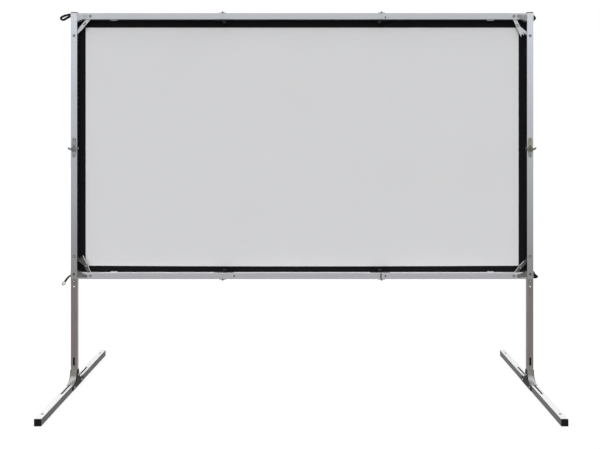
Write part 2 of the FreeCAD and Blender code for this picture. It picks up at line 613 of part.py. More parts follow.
def leg(side):
    """A post on a spigot under the upright, standing on a long foot with cheeks and bent straps."""
    post_axes = upright_axes(side)
    across = Local((side * UPRIGHT_X, 0, 0), X_DIR * -side, Y_DIR, Z_DIR)
    foot_axes = Local((side * UPRIGHT_X, 0, HALF_TUBE), X_DIR, Y_DIR, Z_DIR)
    profile = Local((side * UPRIGHT_X, 0, 0), Y_DIR, X_DIR, Z_DIR)
    clamp_z = FRAME_BOTTOM - CLAMP_BELOW
    free_z = clamp_z - LEG_HOLE_PITCH
    outside = HALF_TUBE + STRAP_T

    post = square_tube(post_axes, TUBE, FRAME_BOTTOM - GAP)
    post = post.cut(across.disc(0, clamp_z, LINK_BOLT_R + RUN, -HALF_TUBE, HALF_TUBE))
    post = post.cut(across.disc(0, free_z, LEG_HOLE_R, -HALF_TUBE, HALF_TUBE))
    post = post.cut(across.block(
        -SLOT_W / 2, SLOT_W / 2, -HALF_TUBE, HALF_TUBE,
        STRAP_POST_BOLT_Z - POST_SLOT_BELOW_BOLT, STRAP_POST_BOLT_Z + POST_SLOT_ABOVE_BOLT,
    ))

    tube_end = FOOT_L / 2 - FOOT_CAP_T
    foot = square_tube(foot_axes, -tube_end, tube_end)
    for way in (-1, 1):
        slot_start = STRAP_FOOT_BOLT_Y - SLOT_W / 2
        slot = sorted((way * slot_start, way * (slot_start + FOOT_SLOT_L)))
        foot = foot.cut(foot_axes.block(-SLOT_W / 2, SLOT_W / 2, *slot, 0, HALF_TUBE))
        stake = FreeCAD.Vector(side * UPRIGHT_X, way * STAKE_FROM_POST, 0)
        foot = foot.cut(Part.makeCylinder(STAKE_R, TUBE, stake, Z_DIR))

    caps = []
    fittings = []
    for way in (-1, 1):
        plug = HALF_TUBE - TUBE_WALL - SEAT
        lid = foot_axes.block(-HALF_TUBE, HALF_TUBE, way * tube_end, way * FOOT_L / 2, -HALF_TUBE, HALF_TUBE)
        lid = soften(lid, Y_DIR, TUBE_EDGE)
        caps.append(joined(
            lid, foot_axes.block(-plug, plug, way * (tube_end - FOOT_CAP_PLUG), way * tube_end, -plug, plug),
        ))
        fittings.append(leg_cheek(profile, way))
        strap, strap_bolt = leg_strap(profile, way)
        strap = strap.cut(across.disc(0, STRAP_POST_BOLT_Z, LINK_BOLT_R + RUN, -outside, outside))
        fittings += [strap, strap_bolt]
    for y, z in CHEEK_RIVETS:
        hole = profile.disc(y, z, CHEEK_RIVET_R + RUN, -HALF_TUBE, HALF_TUBE)
        post = post.cut(hole)
        foot = foot.cut(hole)
        fittings.append(cheek_rivet(profile, y, z))
    fittings.append(joined(
        across.disc(0, STRAP_POST_BOLT_Z, LINK_BOLT_R, -outside, outside),
        across.disc(0, STRAP_POST_BOLT_Z, BOLT_HEAD_R, -outside - BOLT_HEAD_T, -outside),
        across.disc(0, STRAP_POST_BOLT_Z, BOLT_HEAD_R, outside, outside + BOLT_NUT_T),
    ))

    nut_face = HALF_TUBE + GAP
    clamp = joined(
        across.disc(0, clamp_z, BOLT_HEAD_R, -HALF_TUBE - BOLT_HEAD_T, -HALF_TUBE),
        across.disc(0, clamp_z, LINK_BOLT_R, -HALF_TUBE, nut_face + NUT_T),
    )
    nut = across.disc(0, clamp_z, NUT_R, nut_face, nut_face + NUT_T)
    nut = nut.cut(across.disc(0, clamp_z, LINK_BOLT_R + RUN, nut_face, nut_face + NUT_T))
    for index in range(NUT_NOTCHES):
        turn = 2 * math.pi * index / NUT_NOTCHES
        u = NUT_R * math.cos(turn)
        w = clamp_z + NUT_R * math.sin(turn)
        nut = nut.cut(across.disc(u, w, NUT_NOTCH_R, nut_face, nut_face + NUT_T))

    spigot_w = TUBE - 2 * TUBE_WALL - 2 * SEAT
    spigot = square_tube(
        post_axes, FRAME_BOTTOM - SPIGOT_DOWN, FRAME_BOTTOM + SPIGOT_UP, spigot_w, SPIGOT_WALL,
    )
    slot_r = LINK_BOLT_R + GAP
    for z in (clamp_z + GAP, free_z - LEG_HOLE_R):
        spigot = spigot.cut(across.disc(0, z, slot_r, -HALF_TUBE, HALF_TUBE))
    spigot = spigot.cut(across.block(
        -slot_r, slot_r, -HALF_TUBE, HALF_TUBE, free_z - LEG_HOLE_R, clamp_z + GAP,
    ))
    bolt_z = FRAME_BOTTOM + CORNER_BOLT_IN
    spigot = spigot.cut(across.disc(0, bolt_z, LINK_BOLT_R + RUN, -HALF_TUBE, HALF_TUBE))
    return {
        "leg_post": [post], "leg_foot": [foot], "foot_caps": caps,
        "leg_fittings": fittings + [clamp], "leg_nut": [nut], "leg_spigot": [spigot],
    }


def main():
    os.makedirs("parts", exist_ok=True)
    snaps = bar_snaps()
    for level_name, level in LEVELS:
        half = "upper" if level > 0 else "lower"
        bar_z = FOLD_Z + level * (FRAME_H / 2 - HALF_TUBE)
        panel, border = fabric_half(level)
        save("screen_panel_" + half, panel)
        save("screen_border_" + half, *border)

        middle = square_tube(bar_axes(1, level), -BAR_SEAM_X + SEAM_GAP / 2, BAR_SEAM_X - SEAM_GAP / 2)
        save(level_name + "_middle_bar", middle, *[stud(x, bar_z) for x in snaps["middle"]])
        for side_name, side in SIDES:
            corner = corner_axes(side, level)
            place = level_name + "_" + side_name
            upright = half + "_" + side_name
            studs = [stud(side * UPRIGHT_X, z) for z in upright_snaps(level)]
            save(upright + "_upright", upright_tube(side, level, corner), *studs)
            save(upright + "_corner", *corner_bracket(corner, level > 0))
            bar_bolt = bolt(corner, *BAR_BOLT, LINK_BOLT_R)
            studs = [stud(x, bar_z) for x in snaps[side_name]]
            bar = outer_bar_tube(side, level, corner)
            save(place + "_bar", bar, bar_bolt, rest_pad(corner), *studs)
            knee = knee_place(KNEE_BEND if side == level else 0)
            save(place + "_bar_link", brace_channel(corner, knee))
            save(place + "_upright_link", brace_flat(corner, knee))
            joint = fold_joint(
                bar_joint_axes(side, level), BAR_HINGE_RISE, BAR_KNUCKLE_R, BAR_LEAF_L, BAR_LATCH_PIN_BACK,
                BAR_EAR_H, BAR_EAR_REACH, BAR_EAR_LIFT,
            )
            for piece, solids in joint.items():
                save(place + "_" + piece, *solids)
            save(place + "_guy_strap", guy_strap(side, level))

    for side_name, side in SIDES:
        joint = fold_joint(
            upright_joint_axes(side), UPRIGHT_HINGE_RISE, UPRIGHT_KNUCKLE_R, UPRIGHT_LEAF_L,
            UPRIGHT_LATCH_PIN_BACK, UPRIGHT_EAR_H, UPRIGHT_EAR_REACH, UPRIGHT_EAR_LIFT,
        )
        for piece, solids in joint.items():
            save(side_name + "_" + piece, *solids)
        for piece, solids in leg(side).items():
            save(side_name + "_" + piece, *solids)


main()
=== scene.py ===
import json
import math

import bmesh
import bpy
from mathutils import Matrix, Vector

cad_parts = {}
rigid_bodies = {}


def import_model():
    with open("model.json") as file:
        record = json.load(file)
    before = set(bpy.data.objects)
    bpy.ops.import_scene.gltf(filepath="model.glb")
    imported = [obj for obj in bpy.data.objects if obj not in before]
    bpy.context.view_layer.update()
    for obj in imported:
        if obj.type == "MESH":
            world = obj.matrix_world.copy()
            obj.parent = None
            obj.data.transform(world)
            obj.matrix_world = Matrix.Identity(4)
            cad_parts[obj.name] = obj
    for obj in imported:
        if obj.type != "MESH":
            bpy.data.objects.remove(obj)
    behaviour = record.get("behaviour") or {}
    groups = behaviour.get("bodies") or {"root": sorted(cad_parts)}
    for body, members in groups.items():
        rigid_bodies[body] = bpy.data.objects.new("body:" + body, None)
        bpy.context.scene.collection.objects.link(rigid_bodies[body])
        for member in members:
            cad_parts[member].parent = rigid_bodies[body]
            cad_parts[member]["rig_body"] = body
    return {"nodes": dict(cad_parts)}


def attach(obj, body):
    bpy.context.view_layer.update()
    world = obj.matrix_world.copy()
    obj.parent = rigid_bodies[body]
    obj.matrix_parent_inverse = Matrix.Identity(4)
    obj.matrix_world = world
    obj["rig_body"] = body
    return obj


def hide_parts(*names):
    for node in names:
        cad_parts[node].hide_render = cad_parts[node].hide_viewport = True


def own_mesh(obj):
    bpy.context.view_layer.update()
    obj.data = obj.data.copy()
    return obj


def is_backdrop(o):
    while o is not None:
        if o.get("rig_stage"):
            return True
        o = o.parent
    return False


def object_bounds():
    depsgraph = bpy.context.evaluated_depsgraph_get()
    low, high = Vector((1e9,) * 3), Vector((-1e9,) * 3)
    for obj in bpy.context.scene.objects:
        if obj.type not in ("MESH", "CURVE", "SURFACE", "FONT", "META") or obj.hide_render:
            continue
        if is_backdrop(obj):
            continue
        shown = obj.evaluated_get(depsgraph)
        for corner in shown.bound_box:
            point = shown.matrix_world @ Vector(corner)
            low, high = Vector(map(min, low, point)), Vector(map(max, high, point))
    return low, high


for leftover in list(bpy.data.objects):
    bpy.data.objects.remove(leftover, do_unlink=True)

scene = bpy.context.scene
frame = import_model()
cad_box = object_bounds()

# Shared measures, in metres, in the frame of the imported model
MM = 0.001
HALF_TUBE = 0.016
BAR_SEAM_X = 0.404
BAR_END_X = 1.1203
UPRIGHT_X = 1.159
FRAME_HALF_W = 1.175
FRAME_BOTTOM = 0.5475
FRAME_TOP = 1.8995
FOLD_Z = (FRAME_BOTTOM + FRAME_TOP) / 2
WELD = 1e-6
FROM_FRONT = (0, 1, 0)
SIDES = (("left", -1), ("right", 1))
LEVELS = (("bottom", "lower", -1), ("top", "upper", 1))


def body_of(node):
    return frame["nodes"][node]["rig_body"]


def frame_end(level):
    """Height of the frame's upper or lower end."""
    return FRAME_TOP if level > 0 else FRAME_BOTTOM


def bar_height(level):
    """Height of the middle of the top or bottom bar."""
    return frame_end(level) - level * HALF_TUBE


class Nodes:
    """A node tree, with short calls to add and join its nodes."""

    def __init__(self, tree):
        self.tree = tree

    def feed(self, socket, value):
        """Links an output to a socket, or sets the socket to a fixed value."""
        if isinstance(value, bpy.types.NodeSocket):
            self.tree.links.new(value, socket)
        else:
            socket.default_value = value

    def add(self, kind, inputs=None, **settings):
        """Adds a node, feeds its inputs by name or number, and returns its outputs."""
        node = self.tree.nodes.new("ShaderNode" + kind)
        for key, value in settings.items():
            setattr(node, key, value)
        for key, value in (inputs or {}).items():
            self.feed(node.inputs[key], value)
        return node.outputs

    def span(self, value, low, high, out_low, out_high):
        return self.add("MapRange", dict(enumerate((value, low, high, out_low, out_high))))[0]

    def math(self, operation, first, second):
        return self.add("Math", {0: first, 1: second}, operation=operation)[0]


class Finish(Nodes):
    """A material's nodes, with calls for patterns and for the shader's own sockets."""

    def __init__(self, name):
        self.material = bpy.data.materials.new(name)
        self.material.use_nodes = True
        super().__init__(self.material.node_tree)
        self.shader = self.tree.nodes["Principled BSDF"]

    def set(self, **values):
        """Feeds the shader's sockets, whose names have _ for a space here."""
        for key, value in values.items():
            self.feed(self.shader.inputs[key.replace("_", " ")], value)

    def coords(self, scale=(1, 1, 1)):
        place = self.add("TexCoord")["Object"]
        return self.add("Mapping", {"Vector": place, "Scale": scale})["Vector"]

    def upward_part(self, vector):
        return self.add("SeparateXYZ", {"Vector": vector})["Z"]

    def height(self):
        return self.upward_part(self.coords())

    def facing_up(self, low, high):
        """From 0 to 1 as the surface turns to look up."""
        return self.span(self.upward_part(self.add("TexCoord")["Normal"]), low, high, 0, 1)

    def noise(self, vector, scale, detail=3.0, roughness=0.55):
        inputs = {"Vector": vector, "Scale": scale, "Detail": detail, "Roughness": roughness}
        return self.add("TexNoise", inputs)[0]

    def wave(self, vector, scale, direction):
        inputs = {"Vector": vector, "Scale": scale}
        return self.add("TexWave", inputs, bands_direction=direction)["Fac"]

    def mix(self, factor, *tones):
        """Mixes two colours; their sockets share names with others, so numbers pick them."""
        first, second = ((*tone, 1) if isinstance(tone, tuple) else tone for tone in tones)
        return self.add("Mix", {0: factor, 6: first, 7: second}, data_type="RGBA")[2]

    def bump(self, height, strength, distance):
        inputs = {"Height": height, "Strength": strength, "Distance": distance}
        self.set(Normal=self.add("Bump", inputs)["Normal"])


def scaled(colour, factor):
    return tuple(channel * factor for channel in colour)


# The range in which most of a noise's values lie
NOISE = (0.3, 0.7)


def drawn_metal(
    name, colour, stretch, rough=(0.24, 0.36), metallic=1.0, gloss=0.5,
    painted_low_shade=None, painted_top_light=None,
):
    """Extruded metal with streaks, smudges and scuffs.

    painted_low_shade is painted shade that darkens it downwards, and painted_top_light is painted
    light on its outer faces that look up.
    """
    finish = Finish(name)
    finish.set(Metallic=metallic, Specular_IOR_Level=gloss)
    streaks = finish.noise(finish.coords(stretch), 1.0, 4.0, 0.65)
    smudges = finish.noise(finish.coords(), 9.0, 4.0, 0.6)
    scuffs = finish.noise(finish.coords(scaled(stretch, 0.25)), 1.0, 6.0, 0.75)
    streaked = finish.span(streaks, *NOISE, 0, 1)
    tone = finish.mix(streaked, scaled(colour, 0.92), scaled(colour, 1.05))
    tone = finish.mix(finish.span(smudges, 0.45, 0.75, 0, 0.35), tone, scaled(colour, 0.88))
    tone = finish.mix(finish.span(scuffs, 0.66, 0.78, 0, 0.5), tone, scaled(colour, 0.72))
    # Painted shade: the tone darkens towards the bottom of the frame, standing in for the
    # reflection of a dark floor
    if painted_low_shade:
        low_shade_share = finish.span(finish.height(), FRAME_BOTTOM, FRAME_TOP, 0.95, 0)
        tone = finish.mix(low_shade_share, tone, painted_low_shade)
    # Painted light: outer faces that look up turn lighter, as if lit from above
    if painted_top_light:
        outside = finish.span(finish.height(), HALF_TUBE, 1.5 * HALF_TUBE, 0, 1)
        upward = finish.math("MULTIPLY", finish.facing_up(0.3, 0.7), outside)
        lit_top_tone = finish.mix(streaked, scaled(painted_top_light, 0.92), scaled(painted_top_light, 1.04))
        tone = finish.mix(upward, tone, lit_top_tone)
    wear = finish.math(
        "ADD", finish.span(smudges, *NOISE, 0, 0.6), finish.span(streaks, *NOISE, 0, 0.4),
    )
    finish.set(Base_Color=tone, Roughness=finish.span(wear, 0, 1, *rough))
    finish.bump(streaks, 0.12, 0.0002)
    return finish.material


def cast_metal(
    name, colour, rough=(0.34, 0.52), grain=700.0, dark=0.8, metallic=1.0, gloss=0.5, painted_top_light=None,
):
    """Cast or pressed metal: fine grain, cloudy plating and dull patches.

    painted_top_light is painted light on its faces that look up.
    """
    finish = Finish(name)
    finish.set(Metallic=metallic, Specular_IOR_Level=gloss)
    fine = finish.noise(finish.coords(), grain, 2.0)
    clouds = finish.noise(finish.coords(), 38.0, 4.0, 0.6)
    cloudy = finish.span(clouds, 0.35, 0.7, 0, 1)
    tone = finish.mix(cloudy, scaled(colour, 1.06), scaled(colour, dark))
    tone = finish.mix(finish.span(fine, *NOISE, 0, 0.25), tone, scaled(colour, 0.8))
    # Painted light: faces that look up turn lighter, as if lit from above
    if painted_top_light:
        tone = finish.mix(finish.facing_up(0.45, 0.95), tone, painted_top_light)
    finish.set(Base_Color=tone, Roughness=finish.span(clouds, *NOISE, *rough))
    finish.bump(fine, 0.18, 0.0003)
    return finish.material


def woven(name, light, dark, thread, rough, sheen=0.0, gloss=0.25):
    """Plain weave: two crossed sets of threads, with a faint unevenness across the cloth."""
    finish = Finish(name)
    finish.set(Sheen_Weight=sheen, Sheen_Roughness=0.6, Specular_IOR_Level=gloss)
    waves = 0.5 / thread
    place = finish.coords()
    weave = finish.math(
        "MULTIPLY", finish.wave(place, waves, "X"), finish.wave(place, waves, "Z"),
    )
    clouds = finish.noise(place, 2.4, 4.0, 0.55)
    flecks = finish.noise(place, 420.0, 2.0)
    tone = finish.mix(finish.span(clouds, *NOISE, 0, 1), light, dark)
    tone = finish.mix(finish.span(weave, 0, 1, 0.10, 0), tone, scaled(dark, 0.8))
    tone = finish.mix(finish.span(flecks, 0.5, 0.8, 0, 0.12), tone, scaled(dark, 0.85))
    finish.set(Base_Color=tone, Roughness=finish.span(flecks, *NOISE, *rough))
    finish.bump(weave, 0.10, 0.0002)
    return finish.material


def ribbed_webbing(name, colour):
    """Woven strap: tight cross ribs with slightly paler worn threads."""
    finish = Finish(name)
    finish.set(Sheen_Weight=0.06, Sheen_Roughness=0.5, Specular_IOR_Level=0.15)
    place = finish.coords()
    ribs = finish.math(
        "MAXIMUM", finish.wave(place, 180.0, "Y"), finish.wave(place, 130.0, "DIAGONAL"),
    )
    worn = finish.noise(place, 160.0, 3.0)
    tone = finish.mix(finish.span(worn, 0.45, 0.75, 0, 1), colour, scaled(colour, 2.6))
    tone = finish.mix(finish.span(ribs, 0.2, 1.0, 0.5, 0), tone, scaled(colour, 0.4))
    finish.set(Base_Color=tone, Roughness=finish.span(worn, *NOISE, 0.7, 0.9))
    finish.bump(ribs, 0.5, 0.0005)
    return finish.material


def moulded(name, colour, rough=(0.38, 0.55), grain=900.0, gloss=0.45):
    """Moulded plastic with a fine eroded grain and rubbed spots."""
    finish = Finish(name)
    finish.set(Specular_IOR_Level=gloss)
    fine = finish.noise(finish.coords(), grain, 2.0)
    lit_top_tone = finish.noise(finish.coords(), 55.0, 4.0, 0.6)
    tone = finish.mix(finish.span(lit_top_tone, 0.5, 0.8, 0, 1), colour, scaled(colour, 1.8))
    tone = finish.mix(finish.span(fine, 0.4, 0.7, 0, 0.3), tone, scaled(colour, 0.7))
    finish.set(Base_Color=tone, Roughness=finish.span(lit_top_tone, *NOISE, *rough))
    finish.bump(fine, 0.25, 0.0003)
    return finish.material


# Streaks per metre across a tube and along it, and on the brackets
FINE_STREAK = 900.0
LONG_STREAK = 5.0
ALONG_X = (LONG_STREAK, FINE_STREAK, FINE_STREAK)
ALONG_Y = (FINE_STREAK, LONG_STREAK, FINE_STREAK)
ALONG_Z = (FINE_STREAK, FINE_STREAK, LONG_STREAK)
ON_BRACKET = (260.0, 260.0, 40.0)
DULL = (0.3, 0.44)

# Finishes by name: the material, the record's slot and the width of a piece's edge break
CAST_EDGE = 0.0008
PRESSED_EDGE = 0.0006
LINK_EDGE = 0.0005
PAD_EDGE = 0.0010
FINISHES = {}


def add_finishes(slot, edge_break, materials):
    for name, material in materials.items():
        FINISHES[name] = (material, slot, edge_break)


# Near-black metal; on the bolt rims, the stake rings and the bar latches it is painted shade and
# dark reflection
dark_shade_metal = cast_metal(
    "dark_steel_and_painted_shade", (0.024, 0.024, 0.023), (0.4, 0.56), 700.0, metallic=0.3, gloss=0.15,
)
add_finishes("aluminium", 0, {
    "top_bar": drawn_metal("aluminium_top_bar", (0.46, 0.475, 0.505), ALONG_X, DULL, 0.35),
    # The bottom bar is darker than the top bar, painted shade, and its painted_top_light paints a
    # highlight on its top
    "bottom_bar": drawn_metal(
        "aluminium_bottom_bar", (0.385, 0.385, 0.405), ALONG_X, DULL, 0.2,
        painted_top_light=(0.93, 0.93, 0.97),
    ),
    # The uprights darken towards the bottom with painted shade
    "upright": drawn_metal(
        "aluminium_uprights", (0.64, 0.68, 0.75), ALONG_Z, painted_low_shade=(0.21, 0.208, 0.207),
    ),
    # The posts and spigots are darker than the uprights: their darker brownish tone is painted
    # shade, standing in for the reflection of a dark floor
    "post": drawn_metal("shaded_brown_posts", (0.20, 0.173, 0.168), ALONG_Z, DULL),
    # The feet have dark sides, painted shade, and a light painted_top_light on top, painted light
    # from above
    "foot": drawn_metal(
        "aluminium_feet", (0.105, 0.104, 0.102), ALONG_Y, (0.42, 0.56), 0.15, 0.15,
        painted_top_light=(0.71, 0.71, 0.72),
    ),
})
add_finishes("aluminium", PRESSED_EDGE, {
    # The lower brackets and arms are darker copies of the upper ones, painted shade; the left arm
    # is lighter than the right, painted light
    "upper_bracket": drawn_metal("bracket_aluminium", (0.66, 0.67, 0.71), ON_BRACKET, (0.26, 0.42)),
    "lower_bracket": drawn_metal("shaded_bracket_aluminium", (0.26, 0.258, 0.255), ON_BRACKET, DULL),
    "left_arm": cast_metal("pale_bracket_arm", (0.47, 0.485, 0.51), (0.3, 0.45), 600.0, 0.88),
    "right_arm": cast_metal("grey_bracket_arm", (0.30, 0.302, 0.302), (0.3, 0.45), 600.0, 0.85),
    "lower_arm": cast_metal("shaded_bracket_arm", (0.145, 0.14, 0.132), (0.34, 0.5), 600.0, 0.85),
})
add_finishes("zinc", CAST_EDGE, {
    "zinc": cast_metal("cast_zinc", (0.31, 0.32, 0.32)),
    "yellow": cast_metal("yellow_passivated_zinc", (0.29, 0.3, 0.225)),
    "wing": cast_metal("dark_cast_zinc", (0.2, 0.205, 0.205)),
    "olive_wing": cast_metal("olive_passivated_zinc", (0.15, 0.148, 0.1)),
    "dark": dark_shade_metal,
})
add_finishes("steel", 0, {
    "bolt": cast_metal("plated_bolts", (0.40, 0.40, 0.41), (0.16, 0.28), 1200.0, 0.85),
    # bolt_head is a darker copy of bolt for the brace bolts, painted shade
    "bolt_head": cast_metal("shaded_bolt_heads", (0.30, 0.30, 0.305), (0.2, 0.32), 1200.0, 0.85),
    "button": cast_metal("bright_buttons", (0.80, 0.80, 0.81), (0.14, 0.24), 1200.0, 0.92),
    "dark_bolt": dark_shade_metal,
    "eyelet": cast_metal("eyelet_metal", (0.30, 0.30, 0.305), (0.2, 0.36), 900.0),
})
add_finishes("steel", PRESSED_EDGE, {
    "hinge": cast_metal(
        "olive_plated_hinges", (0.085, 0.083, 0.068), (0.42, 0.58), 600.0, metallic=0.4, gloss=0.2,
    ),
    "cheek": cast_metal(
        "dark_cheek_plate", (0.02, 0.0195, 0.017), (0.55, 0.7), 500.0, metallic=0.0, gloss=0.08,
    ),
    # The straps' painted_top_light paints light on their faces that look up
    "strap": cast_metal(
        "plated_straps", (0.25, 0.235, 0.215), (0.30, 0.46), 500.0, painted_top_light=(0.72, 0.72, 0.72),
    ),
})
add_finishes("steel", LINK_EDGE, {
    "link": cast_metal("plated_links", (0.58, 0.58, 0.59), (0.28, 0.44), 500.0, 0.88),
    # dark_link is painted shade on the lower braces and the lower corners' fixing rivets; it is
    # also the dark end plate and rivets at the seams
    "dark_link": cast_metal("dark_links", (0.09, 0.09, 0.086), (0.32, 0.48), 500.0, 0.85),
})
add_finishes("black_plastic", PRESSED_EDGE, {
    "black": moulded("black_plastic", (0.005, 0.005, 0.0055), gloss=0.1),
    "grey": moulded("dark_grey_plastic", (0.05, 0.05, 0.055)),
})
add_finishes("black_plastic", PAD_EDGE, {
    "pad": moulded("pale_pad_plastic", (0.45, 0.45, 0.46), (0.45, 0.6)),
})
add_finishes("white_fabric", 0, {
    "white_cloth": woven(
        "white_screen_cloth", (0.655, 0.657, 0.668), (0.635, 0.637, 0.646), 0.0009, (0.82, 0.92),
    ),
})
add_finishes("black_fabric", 0, {
    "border_cloth": woven(
        "black_border_cloth", (0.0056, 0.0054, 0.0066), (0.0036, 0.0036, 0.0045), 0.0011,
        (0.8, 0.95), 0.025, 0.1,
    ),
    "thread": woven(
        "black_thread", (0.016, 0.016, 0.018), (0.010, 0.010, 0.011), 0.0004, (0.7, 0.85), 0.05,
        0.1,
    ),
})
add_finishes("webbing", 0, {
    "webbing": ribbed_webbing("black_webbing", (0.006, 0.006, 0.0065)),
})

SMOOTH_ANGLE = math.radians(35)
BEVEL_ANGLE = math.radians(40)
FLAT_ANGLE = math.radians(0.5)


def piece(name, mesh_source, finish, body, nodes=()):
    """Turns a bmesh into a named piece that rides on a body, and frees the bmesh."""
    material, slot, edge_break = FINISHES[finish]
    mesh = bpy.data.meshes.new(name)
    mesh_source.edges.index_update()
    rim = [edge.index for edge in mesh_source.edges if edge.is_boundary]
    mesh_source.to_mesh(mesh)
    mesh_source.free()
    for polygon in mesh.polygons:
        polygon.use_smooth = True
    mesh.set_sharp_from_angle(angle=SMOOTH_ANGLE)
    for index in rim:
        mesh.edges[index].use_edge_sharp = True
    mesh.materials.append(material)
    made = bpy.data.objects.new(name, mesh)
    scene.collection.objects.link(made)
    if edge_break:
        bevel = made.modifiers.new("edge_break", "BEVEL")
        bevel.width = edge_break
        bevel.segments = 2
        bevel.limit_method = "ANGLE"
        bevel.angle_limit = BEVEL_ANGLE
        bevel.harden_normals = True
    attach(made, body)
    if nodes:
        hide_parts(*nodes)
    return made


def stand_in(node, label, mesh, finish):
    """A piece that stands for a node, or for some of its solids, on the node's body."""
    return piece(node + "_" + label, mesh, finish, body_of(node), [node])


def second_finish(made, finish, chosen):
    """Gives the chosen faces of a piece a second finish."""
    made.data.materials.append(FINISHES[finish][0])
    slot = len(made.data.materials) - 1
    for polygon in made.data.polygons:
        if chosen(polygon):
            polygon.material_index = slot


def box_of(points):
    """The lowest and the highest corner of the box round some points."""
    axes = list(zip(*points))
    return Vector([min(axis) for axis in axes]), Vector([max(axis) for axis in axes])


class Island:
    """One solid of a node: its faces, its box and the middle of its front."""

    def __init__(self, faces):
        self.faces = faces
        self.low, self.high = box_of([vert.co for face in faces for vert in face.verts])
        self.size = self.high - self.low
        self.middle = (self.low + self.high) / 2
        self.front = Vector((self.middle.x, self.low.y, self.middle.z))


def node_islands(node):
    """The node's mesh, welded, and its separate solids."""
    mesh = bmesh.new()
    mesh.from_mesh(frame["nodes"][node].data)
    bmesh.ops.remove_doubles(mesh, verts=mesh.verts, dist=WELD)
    mesh.faces.ensure_lookup_table()
    seen = set()
    found = []
    for start in mesh.faces:
        if start.index in seen:
            continue
        seen.add(start.index)
        stack = [start]
        faces = []
        while stack:
            face = stack.pop()
            faces.append(face)
            for edge in face.edges:
                for other in edge.link_faces:
                    if other.index not in seen:
                        seen.add(other.index)
                        stack.append(other)
        found.append(Island(faces))
    return mesh, found


def copy_islands(islands):
    """A new bmesh that holds these solids alone, with their flat faces merged."""
    made = bmesh.new()
    for island in islands:
        verts = {}
        for face in island.faces:
            corners = []
            for vert in face.verts:
                if vert.index not in verts:
                    verts[vert.index] = made.verts.new(vert.co)
                corners.append(verts[vert.index])
            made.faces.new(corners)
    bmesh.ops.dissolve_limit(
        made, angle_limit=FLAT_ANGLE, verts=made.verts, edges=made.edges,
        use_dissolve_boundaries=False,
    )
    return made


def split_node(node, label_of, finishes, spare=None):
    """Replaces a node by one piece for each label that has a finish.

    Returns the solids by label, and a copy of the spare label's solids for the caller to finish.
    """
    source, islands = node_islands(node)
    groups = {}
    for island in islands:
        groups.setdefault(label_of(island), []).append(island)
    for label, members in groups.items():
        if label in finishes:
            stand_in(node, label, copy_islands(members), finishes[label])
    copied = copy_islands(groups[spare]) if spare else None
    source.free()
    return groups, copied


def by_size(*limits):
    """Labels a solid by the first limit that it exceeds, each an axis, a size and a label."""

    def label_of(island):
        for axis, limit, label in limits:
            if getattr(island.size, axis) > limit:
                return label

    return label_of


def cut(mesh, point, normal):
    """Cuts the faces that cross a plane, and keeps both sides."""
    everything = mesh.verts[:] + mesh.edges[:] + mesh.faces[:]
    bmesh.ops.bisect_plane(mesh, geom=everything, plane_co=point, plane_no=normal)


def shaped(build, *measures):
    """A new bmesh that holds one shape."""
    mesh = bmesh.new()
    build(mesh, *measures)
    return mesh


def join_loops(mesh, loops):
    """Walls between neighbouring loops; a loop of one point makes a fan."""
    for first, second in zip(loops, loops[1:]):
        count = max(len(first), len(second))
        for index in range(count):
            after = (index + 1) % count
            if len(first) == 1:
                mesh.faces.new((first[0], second[index], second[after]))
            elif len(second) == 1:
                mesh.faces.new((first[index], second[0], first[after]))
            else:
                mesh.faces.new((first[index], second[index], second[after], first[after]))


def closed_sweep(mesh, loops):
    """Walls between the loops and a face on each end, all looking outward."""
    join_loops(mesh, loops)
    mesh.faces.new(loops[0])
    mesh.faces.new(loops[-1])
    bmesh.ops.recalc_face_normals(mesh, faces=mesh.faces)


def lathe(mesh, origin, axis, rings, segments=24):
    """Turns rings of (radius, height) about an axis; (radius, height, 6) makes a hexagon."""
    axis = Vector(axis).normalized()
    across = axis.orthogonal().normalized()
    beside = axis.cross(across)
    loops = []
    for radius, height, *sides in rings:
        centre = Vector(origin) + axis * height
        if radius == 0:
            loops.append([mesh.verts.new(centre)])
            continue
        loop = []
        for index in range(segments):
            turn = math.tau * index / segments
            reach = radius
            if sides:
                step = math.tau / sides[0]
                reach = radius * math.cos(step / 2) / math.cos(turn % step - step / 2)
            outward = across * math.cos(turn) + beside * math.sin(turn)
            loop.append(mesh.verts.new(centre + outward * reach))
        loops.append(loop)
    join_loops(mesh, loops)


# Fasteners: top is a head's outermost point, and axis points into the work
SCREW_HEAD = 0.003
SHANK_R = 0.004
NUT_H = 0.002
STRAP_NUT_H = 0.005
RIVET_HEAD = 0.0015
SMALL_SHANK_R = 0.002


def socket_screw(mesh, top, axis, radius, length, nut):
    """A domed screw with a hexagon socket, and a nut of the given height at its end."""
    head = SCREW_HEAD
    socket = radius * 0.26
    rings = [
        (0, head * 0.6), (socket * 0.9, head * 0.6, 6), (socket, head * 0.05, 6),
        (socket * 1.25, 0), (radius * 0.5, head * 0.09), (radius * 0.68, head * 0.24),
        (radius * 0.84, head * 0.48), (radius * 0.95, head * 0.75), (radius, head),
        (SHANK_R, head), (SHANK_R, length - nut),
    ]
    if nut:
        rings += [
            (radius, length - nut, 6), (radius, length - nut * 0.2, 6), (radius * 0.85, length),
        ]
    rings.append((0, length))
    lathe(mesh, top, axis, rings)


def rivet(mesh, top, axis, radius, head, length, shank):
    """A low domed rivet head with a flat rim."""
    lathe(mesh, top, axis, [
        (0, 0), (radius * 0.35, head * 0.05), (radius * 0.7, head * 0.28),
        (radius * 0.92, head * 0.65), (radius, head * 0.9), (radius, head), (shank, head),
        (shank, length), (0, length),
    ])


def dome(mesh, base, radius, height):
    """A small domed head whose flat back sits on a front face."""
    top = (base[0], base[1] - height, base[2])
    rivet(mesh, top, FROM_FRONT, radius, height, height, radius * 0.5)


